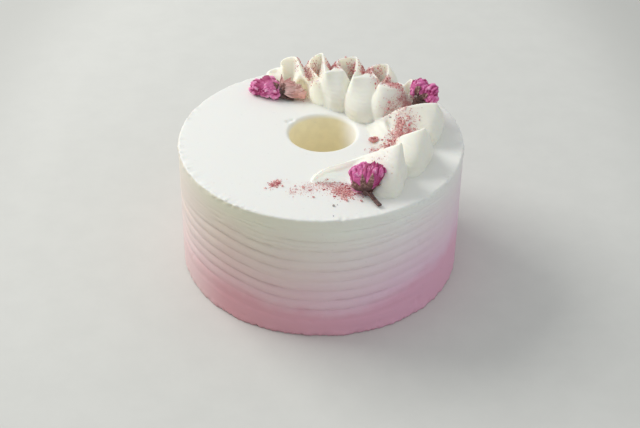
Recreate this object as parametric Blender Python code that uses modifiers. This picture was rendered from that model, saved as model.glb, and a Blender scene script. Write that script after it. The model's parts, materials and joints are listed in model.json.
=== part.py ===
"""Chiffon cake: a tall ring cake under smooth cream, with a ruffle of piped cream and salted cherry blossoms.

Metres, +Z up. The origin is on the cake's axis, at its base, and the ruffle's open side faces -X.
"""
import math
from collections import namedtuple

import bmesh
import bpy
from mathutils import Vector

MM = 0.001
OBJECT_NAME = "chiffon_cake"
GAP = 0.3 * MM  # between two pieces that touch

# The cake: a ring baked in a 17 cm tin, with a coat of cream
CAKE_RADIUS = 82.5 * MM
CAKE_HEIGHT = 80.0 * MM
BASE_EDGE = 1.2 * MM  # rounded lower edge of the coat
RIM_EDGE = 1.5 * MM  # soft upper rim
TURN_STEPS = 64

# The hole, a little behind the axis, with a rounded lip
HOLE_RADIUS = 19.4 * MM
HOLE_LIP = 2.6 * MM
HOLE_CENTRE = (0.9 * MM, 6.2 * MM)
HOLE_STEPS = 48
LIP_STEPS = 4

# The comb's grooves round the side
GROOVE_COUNT = 9
GROOVE_PITCH = 6.7 * MM
GROOVE_LOWEST = 18.5 * MM
GROOVE_DEPTH = 0.5 * MM
GROOVE_RISE = 3.8 * MM  # the comb's lines climb this far away from the front
GROOVE_TILT = 0.8 * MM  # and this much further at the left, less at the right
GROOVE_LEVEL = math.radians(10.0)  # they stay level this far either side of the front
GROOVE_CLIMB = math.radians(35.0)  # and climb within this angle

# The ruffle: one ribbon of cream that swings out and in round the ring. Each place on its crest has a left and a
# right side, given by the side's foot on the cake, how steep it starts, and how far it bulges. All in millimetres,
# from the cake's axis and its top.
Crest = namedtuple("Crest", ("x", "y", "height", "left", "right"))
RIBBON = (
    Crest(-34.4, 57.1, 7.0, (-36.0, 57.7, 1.5, 1), (-34.4, 51.1, 1.5, 1)),
    Crest(-32.8, 57.2, 11.5, (-33.5, 60.3, 1.8, 1.5), (-33.8, 48.2, 1.6, 1)),
    Crest(-27.9, 59.0, 13.0, (-29.2, 62.5, 1.8, 1.5), (-27.9, 50.0, 1.6, 1)),
    Crest(-23.6, 58.2, 14.5, (-24.4, 63.5, 1.8, 1), (-22.6, 50.2, 1.6, 1)),
    Crest(-25.2, 60.2, 16.5, (-25.5, 63.0, 1.8, 1.5), (-22.2, 54.2, 0.9, 0)),
    Crest(-21.8, 60.1, 19.5, (-21.0, 64.7, 1.8, 2), (-17.8, 55.1, 0.8, 0)),
    Crest(-16.3, 58.5, 21.0, (-15.1, 65.3, 1.8, 2), (-16.3, 53.5, 0.8, 0)),
    Crest(-14.1, 53.1, 20.5, (-6.1, 57.1, 1.6, 0), (-20.1, 50.1, 0.9, 0)),
    Crest(-12.5, 47.5, 17.5, (-4.5, 49.5, 1.6, 0), (-19.5, 44.5, 1.2, 0)),
    Crest(-10.0, 42.5, 14.5, (-4.0, 46.5, 1.4, 0), (-12.2, 52.6, 1.6, 2.0)),
    Crest(-5.1, 40.5, 14.0, (-4.1, 52.5, 4.0, 0), (-6.3, 41.9, 1.7, 2.5)),
    Crest(-0.4, 42.4, 14.0, (-2.4, 52.4, 4.0, 0), (2.2, 36.8, 1.7, 1.5)),
    Crest(-3.4, 47.6, 15.5, (-9.4, 49.6, 1.8, 0), (4.6, 44.6, 1.2, 0)),
    Crest(-7.4, 55.3, 17.0, (-14.4, 58.3, 1.6, 0), (-0.4, 51.3, 1.1, 0)),
    Crest(-6.0, 59.3, 20.0, (-8.2, 66.5, 1.8, 2), (0.0, 55.3, 0.8, 0)),
    Crest(-0.2, 62.0, 22.0, (1.2, 68.0, 1.8, 2), (-0.2, 57.0, 0.8, 0)),
    Crest(1.1, 55.7, 22.0, (9.1, 59.7, 1.8, 0), (-4.9, 52.7, 0.8, 0)),
    Crest(1.7, 46.7, 21.5, (10.7, 49.7, 2.0, 0), (-4.3, 43.7, 0.9, 0)),
    Crest(2.3, 40.3, 21.0, (12.3, 52.3, 5.0, 0), (2.6, 35.3, 1.6, 1.5)),
    Crest(6.7, 41.8, 21.0, (7.7, 58.8, 7.0, 0), (7.0, 31.0, 1.8, 2.5)),
    Crest(12.1, 42.8, 20.5, (6.1, 56.8, 6.0, 0), (14.1, 29.8, 1.8, 2)),
    Crest(13.4, 45.6, 18.5, (4.4, 50.6, 4.0, 0), (21.4, 42.6, 1.4, 0)),
    Crest(9.8, 55.7, 18.0, (0.8, 56.7, 3.0, 0), (17.8, 51.7, 1.0, 0)),
    Crest(11.6, 58.1, 20.5, (12.8, 65.8, 1.8, 2), (17.6, 54.1, 0.8, 0)),
    Crest(20.1, 57.9, 22.0, (22.1, 64.3, 1.8, 2), (20.1, 52.9, 0.8, 0)),
    Crest(21.4, 51.2, 22.0, (29.4, 55.2, 1.8, 0), (15.4, 48.2, 0.8, 0)),
    Crest(20.9, 43.4, 21.5, (29.9, 46.4, 2.0, 0), (14.9, 39.4, 0.9, 0)),
    Crest(18.5, 34.0, 21.0, (28.5, 46.0, 5.0, 0), (14.7, 27.1, 1.5, 2.5)),
    Crest(23.9, 34.9, 21.0, (29.9, 51.9, 7.0, 0), (21.7, 17.5, 1.8, 2.5)),
    Crest(30.4, 35.7, 20.5, (27.4, 50.7, 6.0, 0), (31.8, 18.3, 1.8, 2)),
    Crest(32.9, 38.1, 18.5, (23.9, 44.1, 4.0, 0), (40.9, 34.1, 1.4, 0)),
    Crest(30.0, 49.9, 18.0, (21.0, 51.9, 3.0, 0), (38.0, 45.9, 1.0, 0)),
    Crest(31.7, 50.4, 20.5, (34.0, 58.9, 1.8, 2), (37.7, 46.4, 0.8, 0)),
    Crest(38.8, 49.1, 22.0, (43.4, 53.6, 1.8, 2), (38.8, 44.1, 0.8, 0)),
    Crest(39.9, 42.3, 22.0, (47.9, 46.3, 1.8, 0), (33.9, 39.3, 0.8, 0)),
    Crest(38.3, 34.1, 21.5, (47.3, 37.1, 2.0, 0), (31.3, 30.1, 0.9, 0)),
    Crest(33.7, 26.6, 21.0, (42.7, 38.6, 5.0, 0), (29.8, 21.9, 1.5, 2.5)),
    Crest(37.6, 23.1, 21.0, (47.6, 38.1, 7.0, 0), (33.6, 14.1, 1.7, 2)),
    Crest(44.2, 23.6, 19.5, (49.2, 37.6, 5.0, 0), (43.2, 14.6, 1.3, 0)),
    Crest(49.3, 29.7, 15.0, (47.3, 39.7, 3.0, 0), (53.3, 19.7, 1.2, 0)),
    Crest(49.0, 35.0, 15.0, (45.0, 43.0, 1.5, 0), (56.0, 30.0, 1.0, 0)),
    Crest(52.9, 34.7, 20.0, (55.8, 40.6, 1.8, 2), (53.9, 28.7, 1.0, 0)),
    Crest(53.3, 29.9, 18.0, (62.3, 32.9, 1.8, 0), (47.3, 25.9, 1.0, 0)),
    Crest(52.2, 26.8, 13.0, (60.2, 27.8, 1.8, 0), (46.2, 22.8, 1.0, 0)),
    Crest(51.6, 22.0, 9.0, (56.6, 27.0, 1.5, 0), (45.6, 16.0, 1.0, 0)),
    Crest(58.8, 22.7, 8.0, (64.7, 21.0, 1.5, 1), (56.8, 15.7, 1.0, 0)),
    Crest(64.7, 12.1, 15.0, (67.0, 14.2, 1.8, 2.5), (57.7, 10.1, 1.0, 0)),
    Crest(66.0, 3.5, 22.0, (68.4, 1.3, 1.8, 3), (63.0, 9.5, 1.0, 0)),
    Crest(62.0, 3.6, 22.0, (63.2, -7.5, 1.6, 3), (62.0, 11.6, 1.0, 0)),
    Crest(54.7, 4.5, 20.5, (53.7, -6.5, 1.3, 1), (54.7, 13.5, 1.0, 0)),
    Crest(47.0, 6.4, 17.0, (45.0, -5.6, 1.2, 0), (45.0, 15.4, 1.1, 0)),
    Crest(40.5, 10.4, 11.0, (41.5, 0.4, 1.2, 0), (28.5, 15.4, 0.9, 0)),
    Crest(37.2, 9.4, 5.5, (43.2, 6.4, 1.0, 0), (26.3, 10.3, 0.7, 0)),
    Crest(42.0, -2.1, 3.8, (44.0, 2.9, 1.0, 0), (30.3, -11.3, 0.7, 0)),
    Crest(56.2, -5.4, 4.0, (56.2, 1.6, 1.0, 0), (56.2, -13.4, 1.2, 0)),
    Crest(59.7, -20.2, 12.0, (61.6, -19.1, 1.8, 1.5), (52.7, -20.2, 1.0, 0)),
    Crest(57.9, -25.7, 23.0, (59.0, -29.5, 1.8, 2.0), (54.9, -18.7, 1.0, 0)),
    Crest(55.0, -27.0, 23.0, (54.8, -37.6, 1.6, 2.2), (53.0, -19.0, 1.0, 0)),
    Crest(49.7, -26.0, 20.5, (48.9, -40.7, 1.4, 1.5), (46.7, -18.0, 1.0, 0)),
    Crest(44.5, -23.5, 16.5, (40.6, -38.9, 1.2, 0), (40.5, -15.5, 1.0, 0)),
    Crest(40.4, -19.5, 11.0, (41.4, -27.5, 1.2, 0), (33.4, -14.5, 1.2, 0)),
    Crest(37.2, -20.1, 7.0, (42.2, -22.1, 1.1, 0), (29.2, -22.1, 1.3, 0)),
    Crest(42.2, -25.2, 3.0, (45.2, -20.2, 1.0, 0), (37.2, -31.2, 1.2, 0)),
    Crest(46.2, -34.8, 4.0, (50.2, -31.8, 1.0, 0), (40.2, -38.8, 1.2, 0)),
    Crest(45.4, -42.5, 13.0, (46.6, -41.7, 1.8, 0.8), (38.4, -42.5, 1.0, 0)),
    Crest(43.8, -43.0, 24.0, (44.7, -52.5, 1.8, 1.2), (40.8, -36.0, 1.0, 0)),
    Crest(41.6, -44.0, 24.0, (41.4, -59.3, 1.7, 2), (38.6, -36.0, 1.0, 0)),
    Crest(36.4, -42.3, 21.0, (34.9, -60.3, 1.6, 1.5), (32.4, -34.3, 1.0, 0)),
    Crest(31.2, -38.8, 16.5, (28.5, -58.6, 1.4, 1), (27.2, -31.8, 1.0, 0)),
    Crest(24.8, -36.1, 12.0, (22.6, -53.9, 1.2, 0), (20.8, -30.1, 1.1, 0)),
    Crest(18.3, -36.8, 9.5, (16.7, -47.2, 0.8, -2.2), (15.3, -31.8, 1.3, 0)),
    Crest(11.7, -39.3, 8.4, (10.7, -44.4, 0.7, -3.6), (8.7, -34.3, 1.6, 0)),
    Crest(5.1, -42.2, 7.6, (5.2, -44.5, 0.7, -3.8), (2.1, -37.2, 1.8, 0)),
    Crest(-0.1, -44.4, 5.8, (0.2, -45.0, 0.7, -2.6), (-3.6, -41.4, 1.8, 0)),
    Crest(-3.6, -45.5, 2.8, (-2.8, -46.0, 0.9, -0.4), (-5.2, -44.3, 1.3, 0)),
    Crest(-4.7, -45.9, 0.3, (-4.4, -46.3, 1.0, 0), (-5.0, -45.5, 1.0, 0)),
)
CREST_HALF = 0.6 * MM
LEAST_STEEP = 0.4  # of a side, where the curve through the steepness runs low
RIBBON_SINK = 1.5 * MM  # the sweep runs this far below the cake's top, and is cut flat there
SIDE_STEPS = 6
PATH_STEPS = 6  # sections between two places on the crest
RIBBON_VOXEL = 1.1 * MM
RIBBON_ROUNDS = 2  # of smoothing
RIBBON_RATIO = 0.098
MERGE_DISTANCE = 0.01 * MM

# Salted cherry blossoms, millimetres from the cake's axis and its top
Blossom = namedtuple(
    "Blossom",
    (
        "name",
        "stem",  # points from the stem's cut end
        "base",  # where the petals leave the calyx
        "top",  # middle of the petals' end
        "broad",  # direction of the flattened head's width
        "half_width",
        "half_depth",
        "lobes",
        "colour",
    ),
)
PETAL_PINK = (0.62, 0.10, 0.34)
FADED_PINK = (0.62, 0.30, 0.26)
BLOSSOMS = (
    Blossom(
        "blossom_front",
        ((31.9, -69.6, 1.5), (29.6, -66.2, 2.0)),
        (25.0, -65.2, 5.6),
        (25.4, -56.0, 13.8),
        (1.0, 0.1, 0.2),
        9.6,
        3.8,
        5,
        PETAL_PINK,
    ),
    Blossom(
        "blossom_left",
        ((-16.6, 42.0, 1.7), (-21.0, 41.0, 2.2)),
        (-25.6, 40.0, 5.0),
        (-41.5, 43.8, 7.2),
        (0.2, 1.0, 0.2),
        6.4,
        5.2,
        5,
        PETAL_PINK,
    ),
    Blossom(
        "blossom_faded",
        ((-25.6, 46.6, 1.9), (-24.8, 45.8, 4.8)),
        (-22.4, 43.1, 9.1),
        (-11.8, 40.0, 10.3),
        (0.1, 0.3, 1.0),
        5.6,
        4.2,
        4,
        FADED_PINK,
    ),
    Blossom(
        "blossom_right",
        ((53.0, 17.4, 14.8), (54.6, 18.2, 15.2)),
        (56.8, 20.0, 16.4),
        (63.8, 25.4, 20.4),
        (0.7, -0.9, 0.3),
        8.6,
        5.4,
        5,
        PETAL_PINK,
    ),
)
STEM_RADIUS = 1.1 * MM
CALYX_RADIUS = 2.3 * MM
# Rings of the head: share of its length, share of its half width, depth of the petals' lobes
HEAD_RINGS = (
    (0.00, 0.00, 0.0),
    (0.14, 0.26, 0.02),
    (0.34, 0.66, 0.08),
    (0.60, 0.92, 0.12),
    (0.86, 1.00, 0.20),
    (1.00, 0.86, 0.22),
    (0.98, 0.50, 0.20),
)
RING_STEPS = 20
CALYX_START = 0.6  # share of the way from the stem to the petals where the stem widens into the calyx
CREAM_SHARP = math.radians(60.0)  # edges sharper than this aren't shaded smooth
COAT_SHARP = math.radians(50.0)


def clear_scene():
    for item in list(bpy.data.objects):
        bpy.data.objects.remove(item, do_unlink=True)


def new_collection(name):
    collection = bpy.data.collections.new(name)
    bpy.context.scene.collection.children.link(collection)
    return collection


def new_material(name, colour, roughness):
    material = bpy.data.materials.new(name)
    material.use_nodes = True
    shader = material.node_tree.nodes["Principled BSDF"]
    shader.inputs["Base Color"].default_value = (*colour, 1.0)
    shader.inputs["Roughness"].default_value = roughness
    shader.inputs["Metallic"].default_value = 0.0
    return material


def new_object(name, mesh, collection, material=None):
    piece = bpy.data.objects.new(name, mesh)
    collection.objects.link(piece)
    if material:
        mesh.materials.append(material)
    return piece


def polar(angle, radius, height=0.0):
    turn = math.radians(angle)
    return Vector((radius * math.cos(turn), radius * math.sin(turn), height))


def turned_mesh(name, profile, steps, collection):
    """A closed solid turned about Z from a profile of (radius, height) that starts and ends on the axis."""
    outline = bpy.data.meshes.new(name)
    outline.from_pydata([(x, 0.0, z) for x, z in profile], [(i, i + 1) for i in range(len(profile) - 1)], [])
    guide = new_object(name + "_outline", outline, collection)
    screw = guide.modifiers.new("turn", "SCREW")
    screw.steps = steps
    screw.render_steps = steps
    screw.use_merge_vertices = True
    screw.merge_threshold = MERGE_DISTANCE
    graph = bpy.context.evaluated_depsgraph_get()
    mesh = bpy.data.meshes.new_from_object(guide.evaluated_get(graph))
    bpy.data.objects.remove(guide, do_unlink=True)
    mesh.name = name
    return mesh


def body_profile():
    """The coat's outline from the top's middle down the combed side to the base's middle."""
    points = [(0.0, CAKE_HEIGHT)]
    for turn in (90.0, 45.0, 0.0):
        away = polar(turn, RIM_EDGE)
        points.append((CAKE_RADIUS - RIM_EDGE + away.x, CAKE_HEIGHT - RIM_EDGE + away.y))
    for groove in reversed(range(GROOVE_COUNT)):
        height = GROOVE_LOWEST + groove * GROOVE_PITCH
        points.append((CAKE_RADIUS - GROOVE_DEPTH, height))
        points.append((CAKE_RADIUS, height - GROOVE_PITCH / 2.0))
    points.append((CAKE_RADIUS, BASE_EDGE))
    points.append((CAKE_RADIUS - BASE_EDGE, 0.0))
    points.append((0.0, 0.0))
    return points


def groove_rise(angle):
    """How far the comb's lines have climbed at an angle from the front, which is negative on the left."""
    share = min(max((abs(angle) - GROOVE_LEVEL) / GROOVE_CLIMB, 0.0), 1.0)
    return (GROOVE_RISE - GROOVE_TILT * math.sin(angle)) * share * share * (3.0 - 2.0 * share)


def build_body(parts, cutters):
    mesh = turned_mesh("cake_body", body_profile(), TURN_STEPS, cutters)
    lowest = GROOVE_LOWEST - GROOVE_PITCH
    highest = GROOVE_LOWEST + GROOVE_COUNT * GROOVE_PITCH
    for vertex in mesh.vertices:
        height = vertex.co.z
        if lowest < height < highest and vertex.co.to_2d().length > CAKE_RADIUS / 2.0:
            fade = min(1.0, (highest - height) / GROOVE_PITCH)
            vertex.co.z += fade * groove_rise(math.atan2(vertex.co.x, -vertex.co.y))
    body = new_object("cake_body", mesh, parts, new_material("cream_coat", (0.86, 0.84, 0.78), 0.55))
    cut = body.modifiers.new("hole", "BOOLEAN")
    cut.object = hole_cutter(cutters)
    mesh.shade_smooth()
    mesh.set_sharp_from_angle(angle=COAT_SHARP)


def hole_cutter(cutters):
    """A turned plug that widens into the lip at the cake's top."""
    top = CAKE_HEIGHT + HOLE_LIP
    profile = [(0.0, top), (HOLE_RADIUS + HOLE_LIP, top), (HOLE_RADIUS + HOLE_LIP, CAKE_HEIGHT)]
    for step in range(1, LIP_STEPS + 1):
        turn = math.radians(90.0 * (1.0 + step / LIP_STEPS))
        out = HOLE_RADIUS + HOLE_LIP + HOLE_LIP * math.cos(turn)
        profile.append((out, CAKE_HEIGHT - HOLE_LIP + HOLE_LIP * math.sin(turn)))
    profile += [(HOLE_RADIUS, -HOLE_LIP), (0.0, -HOLE_LIP)]
    cutter = new_object("hole_plug", turned_mesh("hole_plug", profile, HOLE_STEPS, cutters), cutters)
    cutter.location = (*HOLE_CENTRE, 0.0)
    cutter.hide_render = True
    cutter.display_type = "WIRE"
    return cutter


def catmull(values, step, share):
    """Value on a smooth curve through a list, a share of the way past one of its points."""
    last = len(values) - 1
    before, here, after, beyond = (values[min(max(step + k, 0), last)] for k in (-1, 0, 1, 2))
    slope = (after - before) / 2.0
    next_slope = (beyond - here) / 2.0
    rest = after - here
    bend = 3.0 * rest - 2.0 * slope - next_slope
    twist = slope + next_slope - 2.0 * rest
    return here + share * (slope + share * (bend + share * twist))


def ribbon_sections():
    """Closed cross-sections of the ribbon along its crest, each a thin crest over two spreading sides."""
    places = [Vector((row.x, row.y, row.height)) * MM for row in RIBBON]
    sides = [[row.left for row in RIBBON], [row.right for row in RIBBON]]
    feet = [[Vector((x, y, 0.0)) * MM for x, y, _, _ in side] for side in sides]
    shapes = [[Vector(side[2:]) for side in rows] for rows in sides]
    samples = [(i, k / PATH_STEPS) for i in range(len(RIBBON) - 1) for k in range(PATH_STEPS)]
    samples.append((len(RIBBON) - 2, 1.0))
    sections = []
    for sample in samples:
        crest = catmull(places, *sample)
        crest.z = max(crest.z, CREST_HALF)
        ground = Vector((crest.x, crest.y, 0.0))
        section = []
        for way in (0, 1):
            out = catmull(feet[way], *sample) - ground
            ahead = out.normalized()
            power, bulge = catmull(shapes[way], *sample)
            power = max(power, LEAST_STEEP)
            side = []
            for step in range(SIDE_STEPS + 1):
                share = step / SIDE_STEPS
                across = out.length * (1.0 - (1.0 - share) ** power) + CREST_HALF
                across += bulge * MM * math.sin(math.pi * share)
                side.append(ground + ahead * across + Vector((0.0, 0.0, crest.z * (1.0 - share))))
            side.append(side[-1] - Vector((0.0, 0.0, RIBBON_SINK)))
            section.append(side)
        sections.append(section[0][::-1] + section[1])
    return sections


def loft_mesh(name, sections):
    """A closed solid through like sections, with flat ends."""
    mesh = bpy.data.meshes.new(name)
    build = bmesh.new()
    rings = [[build.verts.new(point) for point in section] for section in sections]
    count = len(rings[0])
    for first, second in zip(rings, rings[1:]):
        for k in range(count):
            after = (k + 1) % count
            build.faces.new((first[k], first[after], second[after], second[k]))
    build.faces.new(rings[0][::-1])
    build.faces.new(rings[-1])
    bmesh.ops.recalc_face_normals(build, faces=build.faces)
    build.to_mesh(mesh)
    build.free()
    return mesh


def build_ribbon(parts, cutters):
    """The sweep's overlapping folds become one body, which is cut flat where it stands on the cake."""
    sweep = new_object("ribbon_sweep", loft_mesh("ribbon_sweep", ribbon_sections()), cutters)
    blend = sweep.modifiers.new("one_body", "REMESH")
    blend.mode = "VOXEL"
    blend.voxel_size = RIBBON_VOXEL
    soft = sweep.modifiers.new("soft", "SMOOTH")
    soft.iterations = RIBBON_ROUNDS
    thin = sweep.modifiers.new("fewer_faces", "DECIMATE")
    thin.ratio = RIBBON_RATIO
    graph = bpy.context.evaluated_depsgraph_get()
    mesh = bpy.data.meshes.new_from_object(sweep.evaluated_get(graph))
    bpy.data.objects.remove(sweep, do_unlink=True)
    mesh.name = "piped_cream"
    build = bmesh.new()
    build.from_mesh(mesh)
    geometry = build.verts[:] + build.edges[:] + build.faces[:]
    cut = bmesh.ops.bisect_plane(build, geom=geometry, plane_no=(0.0, 0.0, 1.0), clear_inner=True)
    outline = [item for item in cut["geom_cut"] if isinstance(item, bmesh.types.BMEdge)]
    bmesh.ops.remove_doubles(build, verts=build.verts, dist=MERGE_DISTANCE)
    bmesh.ops.holes_fill(build, edges=[edge for edge in outline if edge.is_valid])
    bmesh.ops.translate(build, verts=build.verts, vec=(0.0, 0.0, CAKE_HEIGHT + GAP))
    build.to_mesh(mesh)
    build.free()
    new_object("piped_cream", mesh, parts, new_material("piped_cream", (0.90, 0.88, 0.83), 0.5))
    mesh.shade_smooth()
    mesh.set_sharp_from_angle(angle=CREAM_SHARP)


def build_blossom(blossom, parts):
    """One solid of stem, calyx and crumpled petals: rings along a bent axis that widen into a lobed head."""
    stem = [Vector(point) * MM for point in blossom.stem]
    base = Vector(blossom.base) * MM
    top = Vector(blossom.top) * MM
    length = top - base
    broad = Vector(blossom.broad)
    stalk = (*stem, stem[-1].lerp(base, CALYX_START))
    rings = [(point, STEM_RADIUS, STEM_RADIUS, 0.0) for point in stalk]
    for along, wide, lobe in HEAD_RINGS:
        half_width = CALYX_RADIUS + wide * (blossom.half_width * MM - CALYX_RADIUS)
        half_depth = CALYX_RADIUS + wide * (blossom.half_depth * MM - CALYX_RADIUS)
        rings.append((base + length * along, half_width, half_depth, lobe))
    sections = []
    for index, (centre, half_width, half_depth, lobe) in enumerate(rings):
        ahead = rings[index + 1][0] - centre if index < len(stalk) else length
        ahead = ahead.normalized()
        deep = ahead.cross(broad).normalized()
        wide = deep.cross(ahead)
        section = []
        for step in range(RING_STEPS):
            turn = math.tau * step / RING_STEPS
            swell = 1.0 + lobe * math.cos(blossom.lobes * turn + blossom.lobes)
            place = wide * half_width * math.cos(turn) + deep * half_depth * math.sin(turn)
            crumple = lobe * half_depth * math.cos((blossom.lobes + 2) * turn)
            section.append(centre + place * swell + ahead * crumple)
        sections.append(section)
    mesh = loft_mesh(blossom.name, sections)
    for vertex in mesh.vertices:
        vertex.co.z += CAKE_HEIGHT
    new_object(blossom.name, mesh, parts, new_material(blossom.name, blossom.colour, 0.6))
    mesh.shade_smooth()
    mesh.set_sharp_from_angle(angle=CREAM_SHARP)


def main():
    clear_scene()
    parts = new_collection(OBJECT_NAME)
    cutters = new_collection("cutters")
    build_body(parts, cutters)
    build_ribbon(parts, cutters)
    for blossom in BLOSSOMS:
        build_blossom(blossom, parts)


main()
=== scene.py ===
import json
import math
from collections import namedtuple

import bmesh
import bpy
import numpy as np
from bpy.props import FloatProperty, FloatVectorProperty, IntProperty, PointerProperty
from mathutils import Matrix, Vector, noise
from mathutils.bvhtree import BVHTree

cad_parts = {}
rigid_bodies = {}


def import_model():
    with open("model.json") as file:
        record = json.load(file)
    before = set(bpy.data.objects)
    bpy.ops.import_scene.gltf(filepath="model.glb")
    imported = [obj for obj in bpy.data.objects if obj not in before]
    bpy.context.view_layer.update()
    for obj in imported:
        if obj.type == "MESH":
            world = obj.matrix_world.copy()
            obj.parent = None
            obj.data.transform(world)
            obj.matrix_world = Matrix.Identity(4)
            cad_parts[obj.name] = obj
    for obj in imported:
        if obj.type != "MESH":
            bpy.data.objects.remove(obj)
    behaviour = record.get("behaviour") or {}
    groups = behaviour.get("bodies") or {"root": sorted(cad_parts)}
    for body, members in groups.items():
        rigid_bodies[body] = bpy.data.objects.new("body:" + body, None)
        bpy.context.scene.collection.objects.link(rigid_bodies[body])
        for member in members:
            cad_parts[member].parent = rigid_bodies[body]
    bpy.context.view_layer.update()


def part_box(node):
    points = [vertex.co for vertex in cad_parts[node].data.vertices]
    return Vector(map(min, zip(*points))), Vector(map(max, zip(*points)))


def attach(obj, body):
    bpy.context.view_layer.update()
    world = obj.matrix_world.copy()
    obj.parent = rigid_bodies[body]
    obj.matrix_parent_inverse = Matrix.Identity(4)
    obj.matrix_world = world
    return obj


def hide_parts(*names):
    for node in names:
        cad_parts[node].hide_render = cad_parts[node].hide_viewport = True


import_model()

bl_info = {
    "name": "Chiffon Cake",
    "version": (1, 0, 0),
    "blender": (4, 5, 0),
    "location": "3D View > Sidebar > Cake",
    "description": "A chiffon cake in combed cream with a piped ruffle and salted cherry blossoms",
    "category": "Add Mesh",
}

MM = 0.001
BODY = "root"

# The coat's main sizes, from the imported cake
CAKE_RADIUS, _, CAKE_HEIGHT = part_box("cake_body")[1]
HOLE_CENTRE = np.array((0.9, 6.2)) * MM
HOLE_RADIUS = 19.4 * MM
HOLE_LIP = 2.6 * MM

COAT_STEPS = 560  # points in each ring of the coat
LINE_RINGS = 8  # rings between two comb lines
CLOSE_RINGS = 13  # and high on the side, where the lines are finer
CLOSE_FROM = 54.0 * MM
LEAST_STEP = 0.3 * MM  # between the side's last ring and the rim's first
BASE_EDGE = 1.2 * MM
RIM_EDGE = 1.3 * MM
RIM_RINGS = 7
TOP_RINGS = 20
LIP_BAND = 5.0 * MM  # the band round the hole that has close rings
LIP_BAND_RINGS = 6
LIP_RINGS = 7
WALL_RINGS = 12
UNDER_RINGS = 5

# Small dents in the side: degrees round from +X, height, half width and depth in millimetres
Pit = namedtuple("Pit", ("angle", "height", "size", "depth"))
PITS = (
    Pit(-93.0, 10.6, 0.9, 0.5),
    Pit(-100.0, 10.0, 0.8, 0.4),
    Pit(-88.0, 15.0, 0.8, 0.4),
    Pit(-112.0, 48.0, 0.9, 0.5),
    Pit(-154.0, 21.0, 1.0, 0.6),
    Pit(-157.0, 44.0, 0.8, 0.5),
    Pit(-49.0, 52.0, 1.1, 0.5),
    Pit(-47.0, 9.4, 1.9, 0.8),
    Pit(-49.5, 8.6, 1.2, 0.5),
    Pit(-121.0, 5.4, 0.9, 0.5),
    Pit(-66.0, 6.0, 0.8, 0.4),
    Pit(38.0, 33.0, 1.0, 0.5),
    Pit(74.0, 12.0, 1.2, 0.5),
    Pit(120.0, 41.0, 0.9, 0.5),
    Pit(158.0, 17.0, 1.2, 0.6),
    Pit(5.0, 47.0, 0.9, 0.5),
)
# Dents in the top: place from the axis, half width and depth in millimetres
Dent = namedtuple("Dent", ("x", "y", "size", "depth"))
DENTS = (
    Dent(-19.4, 18.0, 1.5, 1.1),
    Dent(-17.0, 19.8, 1.3, 0.9),
    Dent(-52.0, -22.0, 1.0, 0.25),
    Dent(-60.0, 12.0, 1.2, 0.25),
)

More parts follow.
